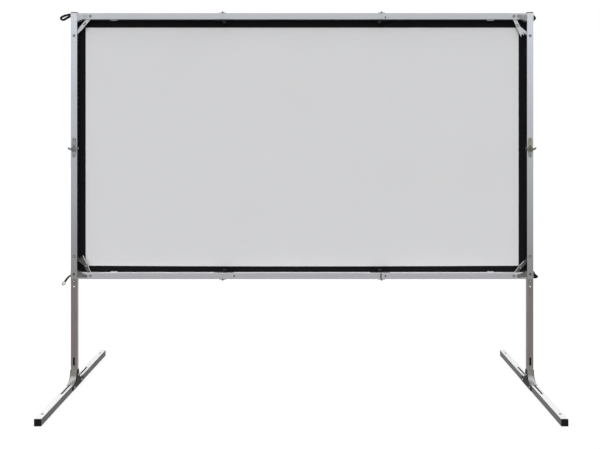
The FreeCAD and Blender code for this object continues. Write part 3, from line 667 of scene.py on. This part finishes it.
def bolts_through(node, label, groups, finish="bolt", nut=NUT_H):
    """Domed socket screws from the front, in place of plain round bolts; their rim is a painted
    dark reflection.
    """
    islands = groups[label]
    mesh = bmesh.new()
    for island in islands:
        socket_screw(mesh, island.front, FROM_FRONT, island.size.x / 2, island.size.y, nut)
    made = stand_in(node, label, mesh, finish)

    # Faces round the rim of each head get a painted dark reflection
    def in_painted_dark_rim(polygon):
        nearest = min(islands, key=lambda island: (island.middle - polygon.center).length)
        away = (polygon.center - nearest.middle).xz.length
        return away > nearest.size.x * 0.3 and polygon.center.y < nearest.low.y + SCREW_HEAD

    second_finish(made, "dark_bolt", in_painted_dark_rim)


def keep_node(node, finish):
    """Leaves a node's solid in place and gives it a finish."""
    material, slot, _ = FINISHES[finish]
    solid = frame["nodes"][node]
    solid.data.materials.clear()
    solid.data.materials.append(material)


# Tubes, spigots, foot caps and nuts keep their solids
for level_name, half, _ in LEVELS:
    keep_node(level_name + "_middle_bar", level_name + "_bar")
    for side_name, _ in SIDES:
        keep_node(half + "_" + side_name + "_upright", "upright")
for side_name, _ in SIDES:
    for part, finish in (
        ("leg_post", "post"), ("leg_spigot", "post"), ("leg_foot", "foot"), ("foot_caps", "black"),
        ("leg_nut", "bolt"),
    ):
        keep_node(side_name + "_" + part, finish)


# Corner brackets
ARM_X = FRAME_HALF_W - 2 * HALF_TUBE
CORNER_LABELS = by_size(
    ("x", 0.06, "plates"), ("x", 0.03, "cap"), ("y", 0.0375, "rivets"), ("y", 0, "brace_bolt"),
)
PAINTED_TOP_LIGHT_FACING = 0.3


def dress_corner(half, side_name, side):
    """Bracket plates, darker along the arm than over the upright, with rivets, cap and bolt; on the
    lower brackets the faces that look up get painted light.
    """
    node = half + "_" + side_name + "_corner"
    groups, plates = split_node(node, CORNER_LABELS, {"cap": "grey"}, "plates")
    cut(plates, (side * ARM_X, 0, 0), (1, 0, 0))
    made = stand_in(node, "plates", plates, half + "_bracket")
    arm = (side_name if half == "upper" else half) + "_arm"
    second_finish(made, arm, lambda polygon: abs(polygon.center.x) < ARM_X - WELD)
    # Lower corners: faces that look up take the bright upper finish, painted light, and the fixing
    # rivets take the dark link finish, painted shade
    fixing = "upper_bracket"
    if half == "lower":
        second_finish(made, "upper_bracket", lambda polygon: polygon.normal.z > PAINTED_TOP_LIGHT_FACING)
        fixing = "dark_link"
    for label, on_arm, finish in (("pivot", True, arm), ("fixing", False, fixing)):
        heads = bmesh.new()
        for island in groups["rivets"]:
            if (abs(island.middle.x) < ARM_X) == on_arm:
                radius = island.size.x / 2
                rivet(heads, island.front, FROM_FRONT, radius, RIVET_HEAD, island.size.y, SHANK_R)
        stand_in(node, label, heads, finish)
    bolts_through(node, "brace_bolt", groups, "bolt_head")


# Outer bars and the plugs at their ends
BAR_LABELS = by_size(
    ("x", 0.3, "tube"), ("x", 0.03, "rest_pad"), ("y", 0.01, "brace_bolt"), ("y", 0, "studs"),
)
PLUG_FACE_X = 1.138
PLUG_HALF = HALF_TUBE - 0.0001
PLUG_CORNER = 0.002
PLUG_EASE = 0.0015


def dress_outer_bar(node, tube_finish):
    """Tube, rest pad, studs and the bolt of the brace; returns the bolt's middle."""
    finishes = {"tube": tube_finish, "rest_pad": "pad", "studs": "bolt"}
    groups, _ = split_node(node, BAR_LABELS, finishes)
    bolts_through(node, "brace_bolt", groups, "bolt_head")
    return groups["brace_bolt"][0].middle


def rounded_square(half, corner_r):
    """Points round a square with rounded corners, three at each."""
    points = []
    for corner in range(4):
        middle = math.radians(90 * corner + 45)
        out = (half - corner_r) * math.sqrt(2)
        for step in range(3):
            turn = math.radians(90 * corner + 45 * step)
            points.append((
                out * math.cos(middle) + corner_r * math.cos(turn),
                out * math.sin(middle) + corner_r * math.sin(turn),
            ))
    return points


def end_plug(node, side, level, finish):
    """Plug that closes the outer bar's end beside the upright."""
    plug = bmesh.new()
    loops = []
    for reach, half in (
        (BAR_END_X, PLUG_HALF),
        (PLUG_FACE_X - PLUG_EASE, PLUG_HALF),
        (PLUG_FACE_X, PLUG_HALF - PLUG_EASE),
    ):
        loops.append([
            plug.verts.new((side * reach, y, bar_height(level) + z))
            for y, z in rounded_square(half, PLUG_CORNER)
        ])
    closed_sweep(plug, loops)
    piece(node + "_end_plug", plug, finish, body_of(node))


# Knee braces
KNEE_HEAD_FRONT = -0.0061
KNEE_WASHER = (0.0082, 0.0007)
KNEE_CAP = (0.0036, 0.0012)
KNEE_CAP_LIFT = 0.0005
# Width of the painted highlight along a channel's inner edge
EDGE_HIGHLIGHT_W = 0.0028
CHANNEL_END = 0.024


def knee_centre(node):
    """Middle of the knee pin's front face, on the flat link."""
    verts = frame["nodes"][node].data.vertices
    low, high = box_of([vert.co for vert in verts if vert.co.y < KNEE_HEAD_FRONT + WELD * 10])
    return (low + high) / 2


def cut_inner_edge(mesh, bolt, knee, inward):
    """Cuts a channel along its inner edge; returns a test for the faces of that strip, which get a
    painted highlight.
    """
    along = (knee - bolt).xz.normalized()
    across = Vector((-along.y, 0, along.x))
    if across.dot(inward) < 0:
        across = -across
    near = [vert.co for vert in mesh.verts if (vert.co - bolt).xz.length < CHANNEL_END]
    place = max(spot.dot(across) for spot in near) - EDGE_HIGHLIGHT_W
    cut(mesh, across * place, across)
    return lambda polygon: polygon.center.dot(across) > place - WELD


def dress_brace(place, side, level, bolt):
    """Channel with a painted highlight along its inner edge and flat link, with a washer and a cap
    on their pin; the lower ones are darker, painted shade.
    """
    channel_node = place + "_bar_link"
    flat_node = place + "_upright_link"
    knee = knee_centre(flat_node)
    # Painted shade: the lower braces take the dark finish
    finish = "link" if level > 0 else "dark_link"
    _, channel = split_node(channel_node, lambda island: "plate", {}, "plate")
    in_painted_highlight = cut_inner_edge(channel, bolt, knee, Vector((-side, 0, -level)))
    made = stand_in(channel_node, "plate", channel, finish)
    second_finish(made, "link", in_painted_highlight)
    split_node(flat_node, lambda island: "plate", {"plate": finish})
    stand_in(flat_node, "knee_washer", shaped(dome, knee, *KNEE_WASHER), finish)
    cap = shaped(dome, knee - Vector((0, KNEE_CAP_LIFT, 0)), *KNEE_CAP)
    stand_in(flat_node, "knee_pin", cap, "dark_bolt" if level > 0 else "bolt")


# Fold joints
HINGE_PIN_MAX = 0.004
LATCH_TOP = HALF_TUBE + 0.004
KEEPER_TOP = HALF_TUBE + 0.006
WING_TOP = HALF_TUBE + 0.017
BAR_PIN_BACK = 0.010
UPRIGHT_PIN_BACK = 0.020
TAIL_SCREW_BACK = 0.048
KEEPER_SCREW_ON = 0.033
PIVOT_HEAD = (0.0034, 0.0008)
TAIL_HEAD = (0.0042, 0.001)
KEEPER_HEAD = (0.0038, 0.001)
# The bar latches are near black: painted shade
BAR_FINISHES = {"hinge": "hinge", "base": "dark", "keeper": "dark", "wing": "dark"}
LEFT_FINISHES = {"hinge": "zinc", "base": "zinc", "keeper": "zinc", "wing": "wing"}
RIGHT_FINISHES = {"hinge": "zinc", "base": "zinc", "keeper": "yellow", "wing": "olive_wing"}


def dress_fold(place, centre, along, out, pin_back, finishes):
    """Hinge leaves, latch base, keeper and wing at one fold, with the screws that hold them.

    along points over the seam to the keeper, and out from the tube to the latch.
    """
    centre, along, out = Vector(centre), Vector(along), Vector(out)

    def label_of(island):
        if sorted(island.size)[1] < HINGE_PIN_MAX:
            return "hinge_pin"
        return "latch" if (island.middle - centre).dot(out) > 0 else "hinge_leaf"

    base = place + "_fold_base"
    keeper = place + "_fold_keeper"
    wing = place + "_latch_wing"
    leaf = finishes["hinge"]
    base_finishes = {"hinge_pin": "bolt", "hinge_leaf": leaf, "latch": finishes["base"]}
    split_node(base, label_of, base_finishes)
    split_node(keeper, label_of, {"hinge_leaf": leaf, "latch": finishes["keeper"]})
    split_node(wing, lambda island: "wing", {"wing": finishes["wing"]})
    for node, label, reach, seat, (radius, height), finish in (
        (base, "pivot_screw", -pin_back, WING_TOP, PIVOT_HEAD, "dark_bolt"),
        (base, "tail_screw", -TAIL_SCREW_BACK, LATCH_TOP, TAIL_HEAD, finishes["wing"]),
        (keeper, "screw", KEEPER_SCREW_ON, KEEPER_TOP, KEEPER_HEAD, finishes["wing"]),
    ):
        top = centre + along * reach + out * (seat + height)
        screw = shaped(rivet, top, -out, radius, height, height, SMALL_SHANK_R)
        stand_in(node, label, screw, finish)


# End plates on the bars' front at both sides of a fold, and rivets, by reach from the seam and rise
PLATE_T = 0.0009
PLATE_GAP = 0.0006
PLATE_HALF_H = 0.0145
PLATE_STEP_H = 0.009
PLATE_CUT = 0.002
PLATE_NOSE = 0.0015
PLATE_W = 0.0145
DARK_PLATE_W = 0.006
SEAM_RIVET = (0.0046, 0.0018)
SEAM_RIVETS = {
    "top_right_outer": (0.019, -0.006),
    "bottom_right_outer": (0.019, 0.0),
    "bottom_left_inner": (0.059, 0.0),
}


def seam_plates(level_name, side_name, side, level):
    """The end plates of one fold, with the rivets beside them."""
    centre_z = bar_height(level)
    for bar, label, way in ((side_name, "outer", side), ("middle", "inner", -side)):
        name = level_name + "_" + side_name + "_" + label
        body = body_of(level_name + "_" + bar + "_bar")
        dark = name == "bottom_right_inner"
        low = side * BAR_SEAM_X + way * PLATE_GAP
        high = low + way * (DARK_PLATE_W if dark else PLATE_W)
        outline = [
            (low, -PLATE_HALF_H), (low, PLATE_HALF_H), (high - way * PLATE_CUT, PLATE_HALF_H),
            (high, PLATE_STEP_H), (high + way * PLATE_NOSE, 0), (high, -PLATE_STEP_H),
            (high - way * PLATE_CUT, -PLATE_HALF_H),
        ]
        plate = bmesh.new()
        closed_sweep(plate, [
            [plate.verts.new((x, y, centre_z + z)) for x, z in outline]
            for y in (-HALF_TUBE, -HALF_TUBE - PLATE_T)
        ])
        piece(name + "_end_plate", plate, "dark_link" if dark else level_name + "_bar", body)
        if name in SEAM_RIVETS:
            reach, rise = SEAM_RIVETS[name]
            base = (side * BAR_SEAM_X + way * reach, -HALF_TUBE, centre_z + rise)
            piece(name + "_rivet", shaped(dome, base, *SEAM_RIVET), "dark_link", body)


for level_name, half, level in LEVELS:
    for side_name, side in SIDES:
        place = level_name + "_" + side_name
        bar_finish = level_name + "_bar"
        seam = (side * BAR_SEAM_X, 0, bar_height(level))
        dress_corner(half, side_name, side)
        brace_bolt = dress_outer_bar(place + "_bar", bar_finish)
        dress_brace(place, side, level, brace_bolt)
        end_plug(place + "_bar", side, level, bar_finish)
        dress_fold(place, seam, (side, 0, 0), (0, 0, -level), BAR_PIN_BACK, BAR_FINISHES)
        seam_plates(level_name, side_name, side, level)
for (side_name, side), finishes in zip(SIDES, (LEFT_FINISHES, RIGHT_FINISHES)):
    seam = (side * UPRIGHT_X, 0, FOLD_Z)
    dress_fold(side_name, seam, (0, 0, 1), (0, -1, 0), UPRIGHT_PIN_BACK, finishes)


# Legs
FITTING_LABELS = by_size(
    ("y", 0.2, "cheeks"), ("x", 0.035, "rivets"), ("x", 0.025, "straps"), ("y", 0.0142, "bolt"),
    ("y", 0, "strap_bolts"),
)
CLAMP_MIN_Z = 0.3
# A black plate inside each post behind its slot, so the slot reads dark: painted shade
SLOT_SHADE_HALF_W = 0.0135
SLOT_SHADE_LOW = 0.108
SLOT_SHADE_HIGH = 0.160
SLOT_SHADE_CUT = SLOT_SHADE_HALF_W * 0.35
SLOT_SHADE_T = 0.0012
FREE_HOLE_Z = 0.5095
BUTTON_R = 0.0044
BUTTON_H = 0.0026
BUTTON_NECK_R = 0.0041
BUTTON_NECK_H = 0.0015
STAKE_HOLES = (-0.6, 0.6)
# Dark rings round the stake holes, so the holes read dark: painted shade
STAKE_SHADE_RING = (
    (0.0046, -0.0015), (0.0046, 0.0006), (0.0054, 0.001), (0.0064, 0.0006), (0.0066, 0),
    (0.0046, -0.0015),
)


def dress_leg(side_name):
    """Cheeks, straps, rivets and bolts where post and foot meet, and the clamp bolt above."""
    node = side_name + "_leg_fittings"

    def label_of(island):
        label = FITTING_LABELS(island)
        if label != "bolt":
            return label
        return "clamp_bolt" if island.middle.z > CLAMP_MIN_Z else "post_bolt"

    groups, _ = split_node(node, label_of, {"cheeks": "cheek", "straps": "strap"})
    rivets = bmesh.new()
    for island in groups["rivets"]:
        half_length = island.size.x / 2
        for way in (-1, 1):
            top = island.middle + Vector((way * half_length, 0, 0))
            radius = island.size.y / 2
            rivet(rivets, top, (-way, 0, 0), radius, RIVET_HEAD, half_length, SHANK_R)
    stand_in(node, "rivets", rivets, "link")
    screws = bmesh.new()
    for island in groups["strap_bolts"]:
        top = (island.middle.x, island.middle.y, island.high.z)
        socket_screw(screws, top, (0, 0, -1), island.size.x / 2, island.size.z, STRAP_NUT_H)
    stand_in(node, "strap_bolts", screws, "bolt")
    bolts_through(node, "post_bolt", groups)
    bolts_through(node, "clamp_bolt", groups, nut=0)


def slot_shade_plate(mesh, centre_x):
    """A thin black plate with cut corners that stands across the post behind its slot, so the slot
    reads dark: painted shade.
    """
    inner_w = SLOT_SHADE_HALF_W - SLOT_SHADE_CUT
    low = SLOT_SHADE_LOW + SLOT_SHADE_CUT
    high = SLOT_SHADE_HIGH - SLOT_SHADE_CUT
    outline = [
        (-SLOT_SHADE_HALF_W, low), (-inner_w, SLOT_SHADE_LOW), (inner_w, SLOT_SHADE_LOW), (SLOT_SHADE_HALF_W, low),
        (SLOT_SHADE_HALF_W, high), (inner_w, SLOT_SHADE_HIGH), (-inner_w, SLOT_SHADE_HIGH), (-SLOT_SHADE_HALF_W, high),
    ]
    closed_sweep(mesh, [
        [mesh.verts.new((centre_x + x, y, z)) for x, z in outline]
        for y in (-SLOT_SHADE_T / 2, SLOT_SHADE_T / 2)
    ])


def dress_post(side_name, side):
    """The post's black slot plate and the dark rings round the foot's stake holes, both painted
    shade, and a button in the post's free hole.
    """
    post_body = body_of(side_name + "_leg_post")
    centre_x = side * UPRIGHT_X
    piece(side_name + "_post_slot_liner", shaped(slot_shade_plate, centre_x), "black", post_body)
    top = (centre_x, -HALF_TUBE - BUTTON_H, FREE_HOLE_Z)
    length = BUTTON_H + BUTTON_NECK_H
    button = shaped(rivet, top, FROM_FRONT, BUTTON_R, BUTTON_H, length, BUTTON_NECK_R)
    piece(side_name + "_post_button", button, "button", post_body)
    rings = bmesh.new()
    for y in STAKE_HOLES:
        lathe(rings, (centre_x, y, 2 * HALF_TUBE), (0, 0, 1), STAKE_SHADE_RING)
    bmesh.ops.remove_doubles(rings, verts=rings.verts, dist=WELD)
    piece(side_name + "_stake_shade_rings", rings, "dark_bolt", body_of(side_name + "_leg_foot"))


for side_name, side in SIDES:
    dress_leg(side_name)
    dress_post(side_name, side)


# Fabric; the collapse draws the sides together, and each sheet rides on the left upright's body
FABRIC_FRONT = 0.0186
FABRIC_T = 0.0006
FABRIC_HALF_W = 1.168
PANEL_HALF_W = 1.107
PANEL_LOW = 0.6115
PANEL_HIGH = 1.8285
BORDER_LOW = 0.5545
BORDER_HIGH = 1.8925
NOTCH_X = 1.1455
NOTCH_H = 0.048
EDGE_BOW = 0.0035
RIPPLE = 0.0011
BELLY_SHARE = 0.7
PULL_SHARE = 0.5
PULL_PITCH = 0.16
PULL_REACH = 0.10
CLOTH_STEP = 0.027
STRIP_STEP = 0.012
SIDE_STEP = 0.03
NOTCH_STEP = 0.024
HEM_W = 0.012
SEAM_W = 0.008
SIDE_FOLD_W = 0.02
STITCH_INSET = 0.02
UPPER_STITCH_Z = PANEL_HIGH + 0.004
LOWER_STITCH_Z = PANEL_LOW - 0.006
STITCH_PITCH = 0.006
STITCH_L = 0.0042
STITCH_W = 0.0007
STITCH_PROUD = 0.0002
SNAP_CAP_MAX_X = 0.02
SNAP_SEGMENTS = 20


def edge_drop(x):
    """How far the white field's lower edge hangs down at x."""
    return EDGE_BOW * (1 - (x / PANEL_HALF_W) ** 2)


def ripple(x, z):
    """How far the cloth lies behind its plane: faint pulls from the snaps and a slack belly."""
    across = max(0.0, 1 - (x / PANEL_HALF_W) ** 2)
    half_h = (PANEL_HIGH - PANEL_LOW) / 2
    upward = max(0.0, (z - PANEL_LOW) * (PANEL_HIGH - z) / half_h ** 2)
    pulls = 0.5 + 0.5 * math.sin(math.tau * x / PULL_PITCH)
    near_edge = math.exp(-(PANEL_HIGH - z) / PULL_REACH) + math.exp(-(z - PANEL_LOW) / PULL_REACH)
    belly = BELLY_SHARE * across * upward
    return RIPPLE * (belly + PULL_SHARE * pulls * min(1.0, near_edge) * across)


def even_steps(first, last, step):
    """Evenly spaced places between two ends, in rising order."""
    low, high = sorted((first, last))
    count = max(1, round((high - low) / step))
    return [low + (high - low) * index / count for index in range(count + 1)]


def gather(made):
    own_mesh(made)


def cloth(name, columns, rows, place, finish, body, node, skip=None):
    """A sheet on a grid of columns and rows; place gives a point, skip leaves a square out."""
    mesh = bmesh.new()
    grid = [[mesh.verts.new(place(x, z)) for z in rows] for x in columns]
    for i in range(len(columns) - 1):
        for j in range(len(rows) - 1):
            if skip and skip((columns[i] + columns[i + 1]) / 2, (rows[j] + rows[j + 1]) / 2):
                continue
            mesh.faces.new((grid[i][j], grid[i + 1][j], grid[i + 1][j + 1], grid[i][j + 1]))
    loose = [vert for vert in mesh.verts if not vert.link_faces]
    bmesh.ops.delete(mesh, geom=loose, context="VERTS")
    made = piece(name, mesh, finish, body, [node])
    solid = made.modifiers.new("cloth_thickness", "SOLIDIFY")
    solid.thickness = FABRIC_T
    solid.offset = -1
    gather(made)
    return made


def stitch_line(mesh, *ends):
    """Stitches on the cloth's front between two ends in x and z, each with its middle raised."""
    start, end = (Vector((x, FABRIC_FRONT, z)) for x, z in ends)
    run = end - start
    along = run.normalized()
    aside = along.cross(Vector(FROM_FRONT)).normalized() * STITCH_W / 2
    for index in range(int(run.length / STITCH_PITCH)):
        first = start + along * (index * STITCH_PITCH + (STITCH_PITCH - STITCH_L) / 2)
        last = first + along * STITCH_L
        middle = (first + last) / 2 - Vector(FROM_FRONT) * STITCH_PROUD
        (a, b), (c, d), (e, f) = [
            (mesh.verts.new(spot + aside), mesh.verts.new(spot - aside))
            for spot in (first, middle, last)
        ]
        for corners in ((a, b, d, c), (c, d, f, e), (a, c, e), (b, f, d), (a, e, f, b)):
            mesh.faces.new(corners)


def snap_caps(name, node, body):
    """Pressed caps on the back of the border: a rolled rim round a shallow dish."""
    source, islands = node_islands(node)
    mesh = bmesh.new()
    for island in islands:
        if island.size.x > SNAP_CAP_MAX_X:
            continue
        radius = island.size.x / 2
        depth = island.size.y
        top = (island.middle.x, island.high.y, island.middle.z)
        lathe(mesh, top, (0, -1, 0), [
            (0, depth * 0.55), (radius * 0.45, depth * 0.5), (radius * 0.62, depth * 0.12),
            (radius * 0.76, 0), (radius * 0.93, depth * 0.2), (radius, depth * 0.6),
            (radius * 0.96, depth), (0, depth),
        ], SNAP_SEGMENTS)
    source.free()
    made = piece(name, mesh, "bolt", body, [node])
    gather(made)
    return made


def dress_screen(half, level):
    """One half of the screen: the white panel, three border strips, stitches and snaps."""
    body = half + "_left"
    name = "screen_" + half
    panel_node = "screen_panel_" + half
    border_node = "screen_border_" + half
    seam, edge = (PANEL_HIGH, BORDER_HIGH) if level > 0 else (PANEL_LOW, BORDER_LOW)
    low, high = sorted((FOLD_Z, seam))
    outer_low, outer_high = sorted((seam, edge))
    side_low, side_high = sorted((FOLD_Z, edge))
    span = high - low
    notch_z = FOLD_Z + level * NOTCH_H

    def on_panel(x, z):
        if level < 0:
            z = z - edge_drop(x) * (1 - (z - low) / span)
        return (x, FABRIC_FRONT + ripple(x, z), z)

    def on_strip(x, z):
        if level < 0 and abs(x) <= PANEL_HALF_W:
            z = z - edge_drop(x) * max(0.0, (z - outer_low) / (outer_high - outer_low))
        return (x, FABRIC_FRONT, z)

    def in_notch(x, z):
        return abs(x) > NOTCH_X and (z - notch_z) * level < 0

    columns = even_steps(-PANEL_HALF_W, PANEL_HALF_W, CLOTH_STEP)
    rows = even_steps(low, high, CLOTH_STEP)
    panel = cloth(name + "_panel", columns, rows, on_panel, "white_cloth", body, panel_node)

    rows = sorted(
        [seam, seam + level * SEAM_W, edge]
        + even_steps(seam + level * 2 * SEAM_W, edge - level * HEM_W, STRIP_STEP)
    )
    long_strip = cloth(
        name + "_long_border", columns, rows, on_strip, "border_cloth", body, border_node,
    )
    seams = bmesh.new()
    stitch_z = UPPER_STITCH_Z if level > 0 else LOWER_STITCH_Z
    stitch_line(seams, (-PANEL_HALF_W, stitch_z), (PANEL_HALF_W, stitch_z))
    rows = sorted(set(
        even_steps(notch_z, edge, SIDE_STEP) + even_steps(notch_z, FOLD_Z, NOTCH_STEP)
    ))
    for side_name, side in SIDES:
        columns = sorted(side * x for x in (
            PANEL_HALF_W, PANEL_HALF_W + SEAM_W, PANEL_HALF_W + SIDE_FOLD_W, NOTCH_X,
            FABRIC_HALF_W - HEM_W, FABRIC_HALF_W,
        ))
        cloth(
            name + "_" + side_name + "_border", columns, rows, on_strip, "border_cloth", body,
            border_node, in_notch,
        )
        stitch_x = side * (PANEL_HALF_W + SEAM_W / 2)
        stitch_line(
            seams, (stitch_x, side_low + STITCH_INSET), (stitch_x, side_high - STITCH_INSET),
        )
    stitches = piece(name + "_stitches", seams, "thread", body, [border_node])
    gather(stitches)
    caps = snap_caps(name + "_snap_caps", border_node, body)


for _, half, level in LEVELS:
    dress_screen(half, level)


# Guy straps, in millimetres: u runs inward from the upright's outer face, v to the rear and w
# into the frame from its end
STRAP_SAMPLES = 8
STRAP_W = 17.5
STRAP_T = 8.5
STRAP_SECTION = (
    (-1, -0.88), (-1, 0), (-1, 0.88), (-0.5, 1), (0.5, 1), (1, 0.88), (1, 0), (1, -0.88),
    (0.5, -1), (-0.5, -1),
)
LOOP_LINE = (
    (1, 4.5), (-11, 6.5), (-26, 9.5), (-41, 14.5), (-51, 20.5), (-53.5, 27), (-49, 32.5),
    (-41, 33), (-29, 27), (-16, 19.5), (-5, 15.5), (1, 14),
)
TAIL_LINE = ((1, 19), (-8, 14.5), (-16, 8), (-22.5, 0.5), (-28, -7), (-32.5, -13))
UPPER_TAB = ((0, 3), (-9, 13), (-16, 23), (-13, 32), (-6, 39), (0, 41))
LOWER_TAB = ((0, 41), (-6, 38), (-13, 26), (-27, 12), (-17, 2.5), (-6, 2.5), (0, 4))
TAB_LAYERS = (
    (-8.8, 0.8), (-8.2, 0.92), (-5.5, 0.99), (0, 0.96), (5.5, 0.99), (8.2, 0.92), (8.8, 0.8),
)
EYE_CENTRE = Vector((-39.0, -23.5))
EYE_ALONG = Vector((-0.62, -0.785))
EYE_BESIDE = Vector((0.785, -0.62))
EYE_HALF_L = 10.6
EYE_HALF_W = 5.4
EYE_ROLL_R = 2.7
EYE_ROLL_HALF_T = 3.4
EYE_AROUND = 40
EYE_ROLL_STEPS = 10


def smooth_line(points):
    """A curve through the points, with even shares of each run."""
    line = []
    ends = [points[0]] + list(points) + [points[-1]]
    for a, b, c, d in zip(ends, ends[1:], ends[2:], ends[3:]):
        for index in range(STRAP_SAMPLES):
            t = index / STRAP_SAMPLES
            line.append(tuple(
                q + 0.5 * ((r - p) * t + (2 * p - 5 * q + 4 * r - s) * t ** 2
                           + (3 * q - p - 3 * r + s) * t ** 3)
                for p, q, r, s in zip(a, b, c, d)
            ))
    line.append(points[-1])
    return line


def band(mesh, points, to_world):
    """A flat strap along a line: a rounded section, swept and closed at both ends."""
    line = smooth_line(points)
    loops = []
    for index, (u, w) in enumerate(line):
        before = Vector(line[max(0, index - 1)])
        after = Vector(line[min(len(line) - 1, index + 1)])
        run = (after - before).normalized() * STRAP_T / 2
        loops.append([
            mesh.verts.new(to_world(u - run.y * t, v * STRAP_W / 2, w + run.x * t))
            for t, v in STRAP_SECTION
        ])
    closed_sweep(mesh, loops)


def folded_tab(mesh, outline, to_world):
    """A tab of webbing folded flat on itself: the outline, rounded off towards both faces."""
    line = [Vector(spot) for spot in smooth_line(outline + outline[:1])[:-1]]
    middle = sum(line, Vector((0, 0))) / len(line)
    loops = []
    for v, share in TAB_LAYERS:
        spots = [middle + (spot - middle) * share for spot in line]
        loops.append([mesh.verts.new(to_world(spot.x, v, spot.y)) for spot in spots])
    closed_sweep(mesh, loops)


def eyelet(mesh, to_world):
    """An oval rolled metal eye at the strap's end."""
    loops = []
    for index in range(EYE_AROUND):
        turn = math.tau * index / EYE_AROUND
        loop = []
        for step in range(EYE_ROLL_STEPS):
            roll = math.tau * step / EYE_ROLL_STEPS
            reach = EYE_ROLL_R * math.cos(roll)
            spot = EYE_CENTRE + EYE_ALONG * (EYE_HALF_L + reach) * math.cos(turn)
            spot += EYE_BESIDE * (EYE_HALF_W + reach) * math.sin(turn)
            loop.append(mesh.verts.new(to_world(spot.x, EYE_ROLL_HALF_T * math.sin(roll), spot.y)))
        loops.append(loop)
    join_loops(mesh, loops + loops[:1])
    bmesh.ops.recalc_face_normals(mesh, faces=mesh.faces)


def guy_strap(level_name, level, side_name, side):
    """The strap at one corner: a loop or a strap with an eye on the left, a tab on the right."""
    node = level_name + "_" + side_name + "_guy_strap"

    def to_world(u, v, w):
        return Vector((side * (FRAME_HALF_W - u * MM), v * MM, frame_end(level) - level * w * MM))

    if side < 0:
        webbing = shaped(band, LOOP_LINE if level > 0 else TAIL_LINE, to_world)
    else:
        webbing = shaped(folded_tab, UPPER_TAB if level > 0 else LOWER_TAB, to_world)
    stand_in(node, "webbing", webbing, "webbing")
    if side < 0 and level < 0:
        stand_in(node, "eyelet", shaped(eyelet, to_world), "eyelet")


for level_name, _, level in LEVELS:
    for side_name, side in SIDES:
        guy_strap(level_name, level, side_name, side)


# Stage: a pale floor, a plain world and three lamps, given by strength, tilt, turn and spread
AMBIENT = 0.5
FLOOR_MATT = 0.20
FLOOR_GLOW = 0.80
FLOOR_HALF_W = 30
FLOOR_Z = -0.0006
WHITE = (1, 1, 1, 1)
LAMPS = (
    ("front_light", 1.9, 62, -12, 50),
    ("top_light", 1.2, 12, 20, 60),
    ("back_light", 1.3, -62, 12, 50),
)


def shows_background(nodes):
    """1 for the rays that show the white background, seen or mirrored."""
    rays = nodes.add("LightPath")
    mirrored = nodes.math("MAXIMUM", rays["Is Glossy Ray"], rays["Is Transmission Ray"])
    return nodes.math("MAXIMUM", rays["Is Camera Ray"], mirrored)


def plain_floor():
    """A pale floor that shows white to the camera and in reflections, and keeps a soft shadow."""
    finish = Finish("pale_floor")
    finish.set(
        Base_Color=(FLOOR_MATT, FLOOR_MATT, FLOOR_MATT, 1), Roughness=1.0, Specular_IOR_Level=0.0,
        Emission_Color=WHITE,
        Emission_Strength=finish.math("MULTIPLY", shows_background(finish), FLOOR_GLOW),
    )
    mesh = bpy.data.meshes.new("floor")
    corners = ((-1, -1), (1, -1), (1, 1), (-1, 1))
    mesh.from_pydata(
        [(x * FLOOR_HALF_W, y * FLOOR_HALF_W, FLOOR_Z) for x, y in corners], [], [(0, 1, 2, 3)],
    )
    mesh.materials.append(finish.material)
    plane = bpy.data.objects.new("floor", mesh)
    scene.collection.objects.link(plane)
    plane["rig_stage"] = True


def plain_world():
    """White to the camera and in reflections, a soft grey light on matt surfaces."""
    world = bpy.data.worlds.new("studio")
    scene.world = world
    world.use_nodes = True
    nodes = Nodes(world.node_tree)
    back = world.node_tree.nodes["Background"]
    nodes.feed(back.inputs["Color"], WHITE)
    nodes.feed(back.inputs["Strength"], nodes.span(shows_background(nodes), 0, 1, AMBIENT, 1))


def sun(name, strength, tilt, turn, spread):
    lamp = bpy.data.lights.new(name, "SUN")
    lamp.energy = strength
    lamp.angle = math.radians(spread)
    holder = bpy.data.objects.new(name, lamp)
    holder.rotation_euler = (math.radians(tilt), 0, math.radians(turn))
    holder.visible_glossy = False
    scene.collection.objects.link(holder)


plain_floor()
plain_world()
for lamp in LAMPS:
    sun(*lamp)

# The camera stands level in front of the screen, with the picture shifted downward
camera_data = bpy.data.cameras.new("camera")
camera_data.sensor_width = 36.0
camera_data.lens = 58.13
camera_data.shift_x = -0.0132
camera_data.shift_y = -0.1524
camera = bpy.data.objects.new("camera", camera_data)
camera.location = (0.0296, -4.9374, 1.2897)
camera.rotation_euler = (math.pi / 2, 0, 0)
scene.collection.objects.link(camera)
scene.camera = camera
scene.view_settings.view_transform = "Standard"

bpy.context.view_layer.update()
boxes = {"cad": cad_box, "visual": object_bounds()}
{name: [list(corner) for corner in box] for name, box in boxes.items()}
